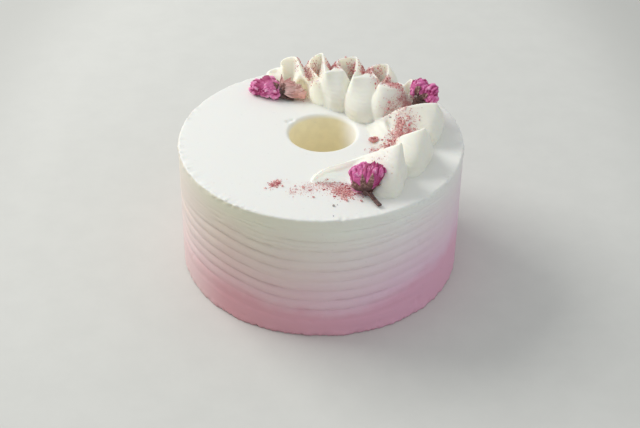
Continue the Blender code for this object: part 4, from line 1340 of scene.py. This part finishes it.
def finish_sheets(name, grids, material, thickness):
    """Closes sheets into thin solids and makes them one piece."""
    build = bmesh.new()
    along = build.verts.layers.float.new("crease")
    for grid in grids:
        add_sheet(build, grid, along)
    piece = new_piece(name, kept_mesh(build, name), material)
    solid = piece.modifiers.new("thickness", "SOLIDIFY")
    solid.thickness = thickness
    solid.offset = 0.0
    keep_evaluated(piece)
    clean = bmesh.new()
    clean.from_mesh(piece.data)
    bmesh.ops.recalc_face_normals(clean, faces=clean.faces)
    clean.to_mesh(piece.data)
    clean.free()
    lift_above(piece.data, read_points(piece.data), CAKE_HEIGHT + LYING)
    piece.data.shade_smooth()
    return piece


def petal_outline(u, pointed):
    """Share of a petal's half width, a share u of the way from the calyx to its tip."""
    if pointed:
        swell = math.sin(math.pi * min(u * 1.15, 1.0) ** 0.8)
        return (0.25 + 0.75 * swell) * (1.0 - u ** 5) ** 0.6
    swell = math.sin(0.5 * math.pi * min(u / 0.62, 1.0))
    return 0.22 + 0.78 * swell - 0.35 * max(0.0, (u - 0.8) / 0.2) ** 2


def leaf_grid(blossom, leaf, seed):
    """One shrivelled petal from calyx to tip: pointed when faded, else broad with a crumpled, curled end."""
    base = above_top(blossom.base)
    ahead = above_top(leaf) - base
    across = ahead.cross(Vector((0.0, -0.8, 0.6))).normalized()
    over = across.cross(ahead).normalized()
    over = over if over.z - over.y > 0.0 else -over
    pointed = blossom.finish == "faded"
    crinkle = FADED_CRINKLE if pointed else FRESH_CRINKLE
    pleats = 6.0 if pointed else 3.4
    curl = 0.30 if pointed else -0.45  # of the half width, at the petal's sides
    slide = 0.0 if pointed else 2.0 * crinkle  # how uneven the tip is
    grid = []
    for row in range(LEAF_ROWS):
        u = row / (LEAF_ROWS - 1)
        width = petal_outline(u, pointed) * leaf.half_width * MM
        middle = base + ahead * u + over * (leaf.lift * MM * math.sin(math.pi * u ** 0.8))
        points = []
        for column in range(LEAF_COLUMNS):
            v = 2.0 * column / (LEAF_COLUMNS - 1) - 1.0
            broad = (0.4 + u) * noise.noise((v * 1.7 + seed * 3.1, u * 3.4, seed))
            fine = 0.5 * u * noise.noise((v * 4.0 + seed, u * 7.0, 5.0))
            pleat = math.cos(v * pleats + 3.4 * noise.noise((u * 1.9, seed, v * 0.8)) + seed)
            cup = crinkle * (broad + fine) + width * (0.12 * pleat + curl * v * v)
            slip = slide * u * u * noise.noise((v * 2.2 - seed, seed * 2.0, 1.0))
            aside = width * v * (0.85 + 0.3 * noise.noise((seed, u * 3.0, v)))
            points.append(middle + across * aside + over * cup + ahead.normalized() * slip)
        grid.append(points)
    return grid


def sepal_grid(blossom, body, turn, reach, seed):
    """One pointed sepal that lies on the petals, from the calyx towards their ends."""
    base, axis, wide, deep = head_frame(blossom)
    out = wide * math.cos(turn) + deep * math.sin(turn)
    side = axis.cross(out)
    grid = []
    for row in range(SEPAL_ROWS):
        u = row / (SEPAL_ROWS - 1)
        half = SEPAL_HALF_WIDTH * (1.0 - u) ** 0.75 * (0.75 + 0.45 * math.sin(math.pi * u))
        points = []
        for column in range(SEPAL_COLUMNS):
            v = 2.0 * column / (SEPAL_COLUMNS - 1) - 1.0
            stand = base + axis * (reach * MM * (u - SEPAL_ROOT)) + side * (v * half)
            spot = body.ray_cast(stand + out * SEPAL_REACH, -out)[0]
            far = max((spot - stand).dot(out) / MM if spot else SEPAL_LOOSE, SEPAL_NEAREST)
            far += SEPAL_CLEAR + SEPAL_TIP_LIFT * u * u + SEPAL_EDGE_LIFT * abs(v)
            far += 0.2 * noise.noise((seed, u * 4.0, v * 2.0))
            points.append(stand + out * (far * MM))
        grid.append(points)
    return grid


def build_sepals(blossom, pieces, material, order):
    """The sepals, over the petals that they clasp."""
    points = []
    faces = []
    for piece in pieces:
        own_points, own_faces = mesh_lists(piece.data)
        faces += [[len(points) + corner for corner in face] for face in own_faces]
        points += own_points
    tree = BVHTree.FromPolygons(points, faces)
    grids = []
    for step, (turn, reach) in enumerate(blossom.sepals):
        grids.append(sepal_grid(blossom, tree, math.radians(turn), reach, 3.0 * order + step))
    return finish_sheets(blossom.name + "_sepals", grids, material, SEPAL_THICKNESS)


def strand_rings(path, way):
    """Rings of one of a stem's two strands, on this side of its path."""
    rings = []
    for k in range(STEM_STEPS + 1):
        t = k / STEM_STEPS * (len(path) - 1)
        index = min(int(t), len(path) - 2)
        share = t - index
        centre = catmull(path, index, share)
        before = catmull(path, index, max(share - STEM_LOOK, 0.0))
        after = catmull(path, index, min(share + STEM_LOOK, 1.0))
        ahead = (after - before).normalized()
        across = ahead.cross(Vector((0.0, 0.0, 1.0))).normalized()
        over = across.cross(ahead)
        swell = 1.0 + STEM_FLARE * max(0.0, k / STEM_STEPS - FLARE_FROM) / (1.0 - FLARE_FROM)
        radius = STEM_RADIUS * swell * (1.0 + 0.12 * noise.noise((k * 0.5, way, 0.0)))
        radius *= STEM_END if k in (0, STEM_STEPS) else 1.0
        middle = centre + across * way * STRAND_APART * swell
        angles = np.linspace(0.0, math.tau, STEM_CORNERS, endpoint=False)
        rings.append([middle + across * math.cos(a) * radius + over * math.sin(a) * radius for a in angles])
    return rings


def build_stem(blossom, material):
    """Two dark strands side by side that widen into the calyx."""
    path = [above_top(point) for point in (*blossom.stem, blossom.base)]
    merged = bmesh.new()
    for way in (-1.0, 1.0):
        strand = loft_mesh("strand", strand_rings(path, way))
        merged.from_mesh(strand)
        bpy.data.meshes.remove(strand)
    name = blossom.name + "_stem"
    piece = new_piece(name, kept_mesh(merged, name), material)
    piece.data.shade_smooth()
    return piece


def petal_material(name, light, dark, pale, low=None):
    """Moist crumpled petals: painted shade deep in the creases, painted highlights paler on the crests, and
    perhaps another tint low down.
    """
    material, nodes, shader = new_material(
        name,
        Roughness=0.5,
        Subsurface_Weight=0.15,
        Subsurface_Radius=(1.0, 0.35, 0.6),
        Subsurface_Scale=1.0 * MM,
        Sheen_Weight=0.2,
        Specular_IOR_Level=0.35,
    )
    place = nodes.place()
    crease = nodes.stored("crease")
    blotch = nodes.noise(place, 330.0, 4.0, 0.6)
    fine = nodes.noise(place, 1500.0, 3.0, 0.6)
    # Painted shade: darker deep in the creases, and on the outer petals towards their tips, with random
    # blotches
    deep = nodes.spread(crease, 0.25, 0.8) + (blotch - 0.5) * 1.6
    deep = nodes.math("ADD", deep, (fine - 0.5) * 0.5, clamp=True)
    # Painted highlight: paler on the crests, and on the outer petals near their base
    crest = nodes.spread(crease, 0.0, 0.3, 1.0, 0.0) * nodes.spread(blotch, 0.40, 0.58, 0.0, 0.8)
    skin = nodes.mix(crest, nodes.mix(deep, light, dark), pale)
    if low:
        x, _, z = nodes.parts(place)
        under = nodes.spread(z, CAKE_HEIGHT + 7.5 * MM, CAKE_HEIGHT + 5.0 * MM)
        beside = nodes.spread(x, -19.0 * MM, -14.0 * MM, 0.0, 0.85)
        skin = nodes.mix(under * beside, skin, low)
    paint(nodes, shader, skin, blotch + fine * 0.5, 0.6, 0.35 * MM)
    return material


def stalk_material(name, tint, warm, deep=None):
    """Dull brown skin of sepals and stems, with paler ridges along them, and perhaps darker at the root."""
    material, nodes, shader = new_material(name, Roughness=0.36, Specular_IOR_Level=0.6)
    blotch = nodes.noise(nodes.place(), 700.0, 4.0, 0.6)
    skin = nodes.mix(nodes.spread(blotch, 0.43, 0.66), tint, warm)
    if deep:
        skin = nodes.mix(nodes.spread(nodes.stored("crease"), 0.12, 0.4), deep, skin)
    paint(nodes, shader, skin, blotch, 0.6, 0.3 * MM)
    return material


class CAKE_OT_blossoms(bpy.types.Operator):
    """Salted cherry blossoms, each of petals, sepals and a stem"""

    bl_idname = "cake.blossoms"
    bl_label = "Cherry Blossoms"

    def execute(self, context):
        settings = context.scene.cake_blossoms
        finishes = {
            "pink": (settings.petal, settings.petal_dark, settings.petal_pale),
            "pale": (settings.light_petal, settings.petal_dark, settings.light_pale),
            "faded": (settings.faded, settings.faded_dark, settings.faded_pale, settings.coral),
        }
        petals = {name: petal_material("petal_" + name, *tints) for name, tints in finishes.items()}
        sepal = stalk_material("sepal_skin", settings.sepal, settings.sepal_pale, settings.sepal_root)
        stem = stalk_material("stem_skin", settings.stem, settings.stem_pale)
        for order, blossom in enumerate(BLOSSOMS):
            slot = "blossom_faded" if blossom.finish == "faded" else "blossom_pink"
            finish = petals[blossom.finish]
            calyx = joined_lumps(blossom.name + "_calyx", blossom.calyx, stem)
            crumple(calyx, blossom, CALYX_CRINKLE * settings.crinkle, 50.0 + order)
            leaves = [leaf_grid(blossom, leaf, 1.7 * step) for step, leaf in enumerate(blossom.leaves)]
            outer = finish_sheets(blossom.name + "_petals", leaves, finish, LEAF_THICKNESS)
            finish_piece(outer, slot, blossom.name)
            heart = joined_lumps(blossom.name + "_heart", blossom.lumps, finish)
            crumple(heart, blossom, settings.crinkle, 11.0 * order)
            sepals = build_sepals(blossom, (calyx, outer, heart), sepal, order)
            for piece in (heart, calyx, sepals, build_stem(blossom, stem)):
                finish_piece(piece, slot)
        return {"FINISHED"}


# --- the crumbs -----------------------------------------------------------------------------------------

CRUMB_SHAPES = 4
BARE = 0.01  # a face with less powder and crumbs than this holds none
DARKER_SHADE = 0.6
RING_STEPS = 36
RING_CORNERS = 8


def crumb_tree(name, material):
    """Scatters small angular crumbs on the faces of a surface, as thick as one of its attributes says."""
    inputs = {"Geometry": "Geometry", "Density": "Float", "Size": "Float", "Smallest": "Float"}
    inputs |= {"Fall": "String", "Seed": "Int"}
    nodes, given, made = new_group(name, "GeometryNodeTree", inputs, {"Geometry": "Geometry"})
    seed = given["Seed"]
    density = given["Density"] * nodes.named(given["Fall"]) ** 1.5
    falling = {"Mesh": given["Geometry"], "Density": density, "Seed": seed}
    shapes = nodes.add("GeometryNodeJoinGeometry", {})
    for number in range(CRUMB_SHAPES):
        ball = nodes.value("GeometryNodeMeshIcoSphere", "Mesh", {"Radius": 1.0, "Subdivisions": 1})
        place = nodes.value("GeometryNodeInputPosition")
        place = nodes.vector_math("ADD", place, (3.1 * number, 7.7, 1.3 * number))
        push = nodes.vector_math("SUBTRACT", nodes.noise(place, 1.3, 1.0, output="Color"), (0.5, 0.5, 0.5))
        push = nodes.vector_math("SCALE", push, 1.9)
        lump = nodes.value("GeometryNodeSetPosition", 0, {"Geometry": ball, "Offset": push})
        nodes.feed(shapes.inputs[0], nodes.value("GeometryNodeGeometryToInstance", 0, {0: lump}))
    grown = nodes.random("FLOAT", 0.0, 1.0, seed) ** 2.2
    scale = (given["Smallest"] + grown * (1.0 - given["Smallest"])) * given["Size"]
    crumbs = {
        "Points": nodes.value("GeometryNodeDistributePointsOnFaces", "Points", falling),
        "Instance": Value(nodes, shapes.outputs[0]),
        "Pick Instance": True,
        "Instance Index": nodes.random("INT", 0, CRUMB_SHAPES - 1, 7),
        "Rotation": nodes.random("FLOAT_VECTOR", (0.0,) * 3, (math.tau,) * 3, seed),
        "Scale": nodes.vector(scale, scale, scale * 0.8),
    }
    shade = {
        "Geometry": nodes.value("GeometryNodeInstanceOnPoints", 0, crumbs),
        "Name": "shade",
        "Value": nodes.random("FLOAT", 0.0, 1.0, 23),
    }
    shaded = nodes.value("GeometryNodeStoreNamedAttribute", 0, shade, data_type="FLOAT", domain="INSTANCE")
    return end_tree(nodes, made, shaded, material)


def crumb_material(settings):
    """Dry berry: rose to dark red, each crumb in its own shade."""
    material, nodes, shader = new_material(
        "berry_crumb", Roughness=0.7, Subsurface_Weight=0.1, Subsurface_Scale=0.5 * MM
    )
    speck = nodes.noise(nodes.place(), 1400.0)
    depth = nodes.math("ADD", nodes.stored("shade"), (speck - 0.5) * 0.9, clamp=True)
    skin = nodes.ramp(depth, ((0.1, settings.rose), (0.85, settings.red)))
    paint(nodes, shader, skin, speck, 0.5, 0.2 * MM)
    return material


def carrier_mesh():
    """The dusted faces of the coat and the ruffle, for the crumbs to lie on."""
    build = bmesh.new()
    for name in ("coat_of_cream", "piped_ruffle"):
        build.from_mesh(bpy.data.objects[name].data)
    dust = build.verts.layers.float["dust"]
    crumbs = build.verts.layers.float["crumb_fall"]
    clean = [face for face in build.faces if max(max(v[dust], v[crumbs]) for v in face.verts) < BARE]
    bmesh.ops.delete(build, geom=clean, context="FACES")
    return kept_mesh(build, "dusted_faces")


def shaded_crumb(name, mesh, material):
    """A piece of larger crumbs, in the darker half of the berry's shades."""
    store(mesh, "shade", [DARKER_SHADE] * len(mesh.vertices))
    mesh.shade_smooth()
    return new_piece(name, mesh, material)


def speck_piece(name, specks, material, seed):
    """Single crumbs, each an uneven lump."""
    build = bmesh.new()
    for order, speck in enumerate(specks):
        place = Matrix.Translation(above_top(speck) + Vector((0.0, 0.0, speck.size * 0.4 * MM)))
        turn = Matrix.Rotation(order * 1.9, 4, "Z")
        sizes = Matrix.Diagonal((speck.size * MM, speck.size * 0.8 * MM, speck.size * 0.6 * MM, 1.0))
        bmesh.ops.create_icosphere(build, subdivisions=2, radius=1.0, matrix=place @ turn @ sizes)
    for vertex in build.verts:
        at = vertex.co / MM
        vertex.co += noise.noise_vector((at.x * 0.8, at.y * 0.8, at.z * 0.8 + seed)) * 0.32 * MM
    return shaded_crumb(name, kept_mesh(build, name), material)


def ring_crumb(material):
    """A flake of berry skin curled into a ring."""
    up = Vector((0.0, 0.0, 1.0))
    rings = []
    for step in range(RING_STEPS):
        turn = math.tau * step / RING_STEPS
        wavy = 1.0 + 0.16 * math.sin(3.0 * turn + 0.6)
        place = Vector((2.3 * math.cos(turn), 1.7 * math.sin(turn) * wavy, 0.35 * math.sin(2.0 * turn)))
        centre = above_top(RING_CRUMB) + place * MM
        out = Vector((math.cos(turn), math.sin(turn), 0.0))
        thick = (0.95 + 0.5 * noise.noise((step * 0.55, 2.0, 0.0))) * MM
        angles = np.linspace(0.0, math.tau, RING_CORNERS, endpoint=False)
        rings.append([centre + (out * math.cos(a) * 0.75 + up * math.sin(a)) * thick for a in angles])
    return shaded_crumb("berry_ring", loft_mesh("berry_ring", rings, looped=True), material)


class CAKE_OT_crumbs(bpy.types.Operator):
    """Berry crumbs and powder on the top and the ruffle"""

    bl_idname = "cake.crumbs"
    bl_label = "Berry Crumbs"

    def execute(self, context):
        settings = context.scene.cake_crumbs
        material = crumb_material(settings)
        kinds = (
            ("berry_powder", "dust", settings.powder_density, settings.powder_size, 0.3),
            ("berry_crumbs", "crumb_fall", settings.crumb_density, settings.crumb_size, 0.35),
        )
        for order, (name, fall, density, size, smallest) in enumerate(kinds):
            piece = new_piece(name, carrier_mesh(), material)
            scatter = {"Density": density, "Size": size, "Smallest": smallest, "Fall": fall}
            run_tree(piece, crumb_tree(name, material), scatter | {"Seed": settings.seed + order})
            finish_piece(piece, "crumbs")
        dark = stalk_material("dark_speck", (0.22, 0.19, 0.17), (0.42, 0.38, 0.35))
        finish_piece(speck_piece("berry_specks", BERRY_SPECKS, material, 1.0), "crumbs")
        finish_piece(speck_piece("dark_specks", DARK_SPECKS, dark, 2.0), "crumbs")
        finish_piece(ring_crumb(material), "crumbs")
        return {"FINISHED"}


# --- the stage ------------------------------------------------------------------------------------------

CAMERA_TARGET = Vector((-0.13, 0.0, 25.9)) * MM
CAMERA_DISTANCE = 767.5 * MM
CAMERA_ELEVATION = math.radians(35.495)
CAMERA_ROLL = math.radians(0.6)
PHOTO_WIDTH = 640  # pixels
CAMERA_FOCUS = 1271.6  # pixels
SENSOR_WIDTH = 36.0  # millimetres, as Blender counts them

# Metres, and colours
LIGHT_AIM = Vector((0.0, 0.0, 0.05))
FILL_PLACE = (1.25, -0.6, 0.6)
WINDOW_TINT = (1.0, 0.985, 0.96)
FILL_TINT = (0.92, 0.96, 1.0)
ROOM_TINT = (0.96, 0.98, 1.0, 1.0)
FLOOR_SIZE = 6.0
# Painted shade on the floor is centred here
SHADE_CENTRE = 0.1  # how far behind the cake the floor is palest


def floor_material(settings):
    """Matt pale floor with a faint mottle, and painted shade that darkens it far from the cake."""
    material, nodes, shader = new_material("pale_floor", Roughness=0.8)
    place = nodes.place()
    mottle = nodes.spread(nodes.noise(place, 45.0, 5.0, 0.65), 0.3, 0.7)
    x, y, _ = nodes.parts(place)
    aside = x * 1.6
    behind = (y - SHADE_CENTRE) * 0.8
    far = nodes.math("SQRT", aside * aside + behind * behind)
    skin = nodes.mix(mottle, darker(settings.floor, 0.97), settings.floor)
    # Painted shade: the floor darkens away from the cake, as the light falls off
    skin = nodes.mix(nodes.spread(far, 0.30, 0.46), skin, darker(settings.floor, 0.79))
    nodes.feed(shader.inputs["Base Color"], skin)
    return material


def add_light(name, place, size, power, tint):
    light = bpy.data.lights.new(name, "AREA")
    light.shape = "RECTANGLE"
    light.size, light.size_y = size
    light.energy = power
    light.color = tint
    lamp = bpy.data.objects.new(name, light)
    bpy.context.scene.collection.objects.link(lamp)
    lamp.location = place
    lamp.rotation_euler = (LIGHT_AIM - Vector(place)).to_track_quat("-Z", "Y").to_euler()


def add_camera():
    back = Vector((0.0, -math.cos(CAMERA_ELEVATION), math.sin(CAMERA_ELEVATION)))
    data = bpy.data.cameras.new("camera")
    data.sensor_width = SENSOR_WIDTH
    data.lens = SENSOR_WIDTH * CAMERA_FOCUS / PHOTO_WIDTH
    camera = bpy.data.objects.new("camera", data)
    bpy.context.scene.collection.objects.link(camera)
    turn = (-back).to_track_quat("-Z", "Y").to_matrix() @ Matrix.Rotation(CAMERA_ROLL, 3, "Z")
    camera.matrix_world = Matrix.Translation(CAMERA_TARGET + back * CAMERA_DISTANCE) @ turn.to_4x4()
    bpy.context.scene.camera = camera


class CAKE_OT_stage(bpy.types.Operator):
    """Pale floor, soft light and the camera"""

    bl_idname = "cake.stage"
    bl_label = "Stage"

    def execute(self, context):
        settings = context.scene.cake_stage
        bpy.ops.mesh.primitive_grid_add(size=FLOOR_SIZE, x_subdivisions=8, y_subdivisions=8)
        floor = context.active_object
        floor.name = "floor"
        floor.data.materials.append(floor_material(settings))
        add_light("window", WINDOW_PLACE, (1.1, 0.9), settings.window, WINDOW_TINT)
        add_light("fill", FILL_PLACE, (1.2, 1.0), settings.fill, FILL_TINT)
        world = bpy.data.worlds.new("room")
        world.use_nodes = True
        ground = world.node_tree.nodes["Background"]
        ground.inputs["Color"].default_value = ROOM_TINT
        ground.inputs["Strength"].default_value = settings.sky
        context.scene.world = world
        context.scene.view_settings.view_transform = "Standard"
        context.scene.view_settings.look = "None"
        add_camera()
        return {"FINISHED"}


class CAKE_PT_panel(bpy.types.Panel):
    """Lists the cake's pieces"""

    bl_label = "Chiffon Cake"
    bl_idname = "CAKE_PT_panel"
    bl_space_type = "VIEW_3D"
    bl_region_type = "UI"
    bl_category = "Cake"

    def draw(self, context):
        for operator in OPERATORS:
            self.layout.operator(operator.bl_idname)


SETTINGS = {
    "cake_coat": CoatSettings,
    "cake_ruffle": RuffleSettings,
    "cake_blossoms": BlossomSettings,
    "cake_crumbs": CrumbSettings,
    "cake_stage": StageSettings,
}
OPERATORS = (CAKE_OT_coat, CAKE_OT_ruffle, CAKE_OT_blossoms, CAKE_OT_crumbs, CAKE_OT_stage)
CLASSES = (*SETTINGS.values(), *OPERATORS, CAKE_PT_panel)


def register():
    for item in CLASSES:
        bpy.utils.register_class(item)
    for name, group in SETTINGS.items():
        setattr(bpy.types.Scene, name, PointerProperty(type=group))


def unregister():
    for name in SETTINGS:
        delattr(bpy.types.Scene, name)
    for item in reversed(CLASSES):
        bpy.utils.unregister_class(item)


def main():
    register()
    bpy.ops.cake.coat()
    bpy.ops.cake.ruffle()
    bpy.ops.cake.blossoms()
    bpy.ops.cake.crumbs()
    bpy.ops.cake.stage()


if __name__ == "__main__":
    main()
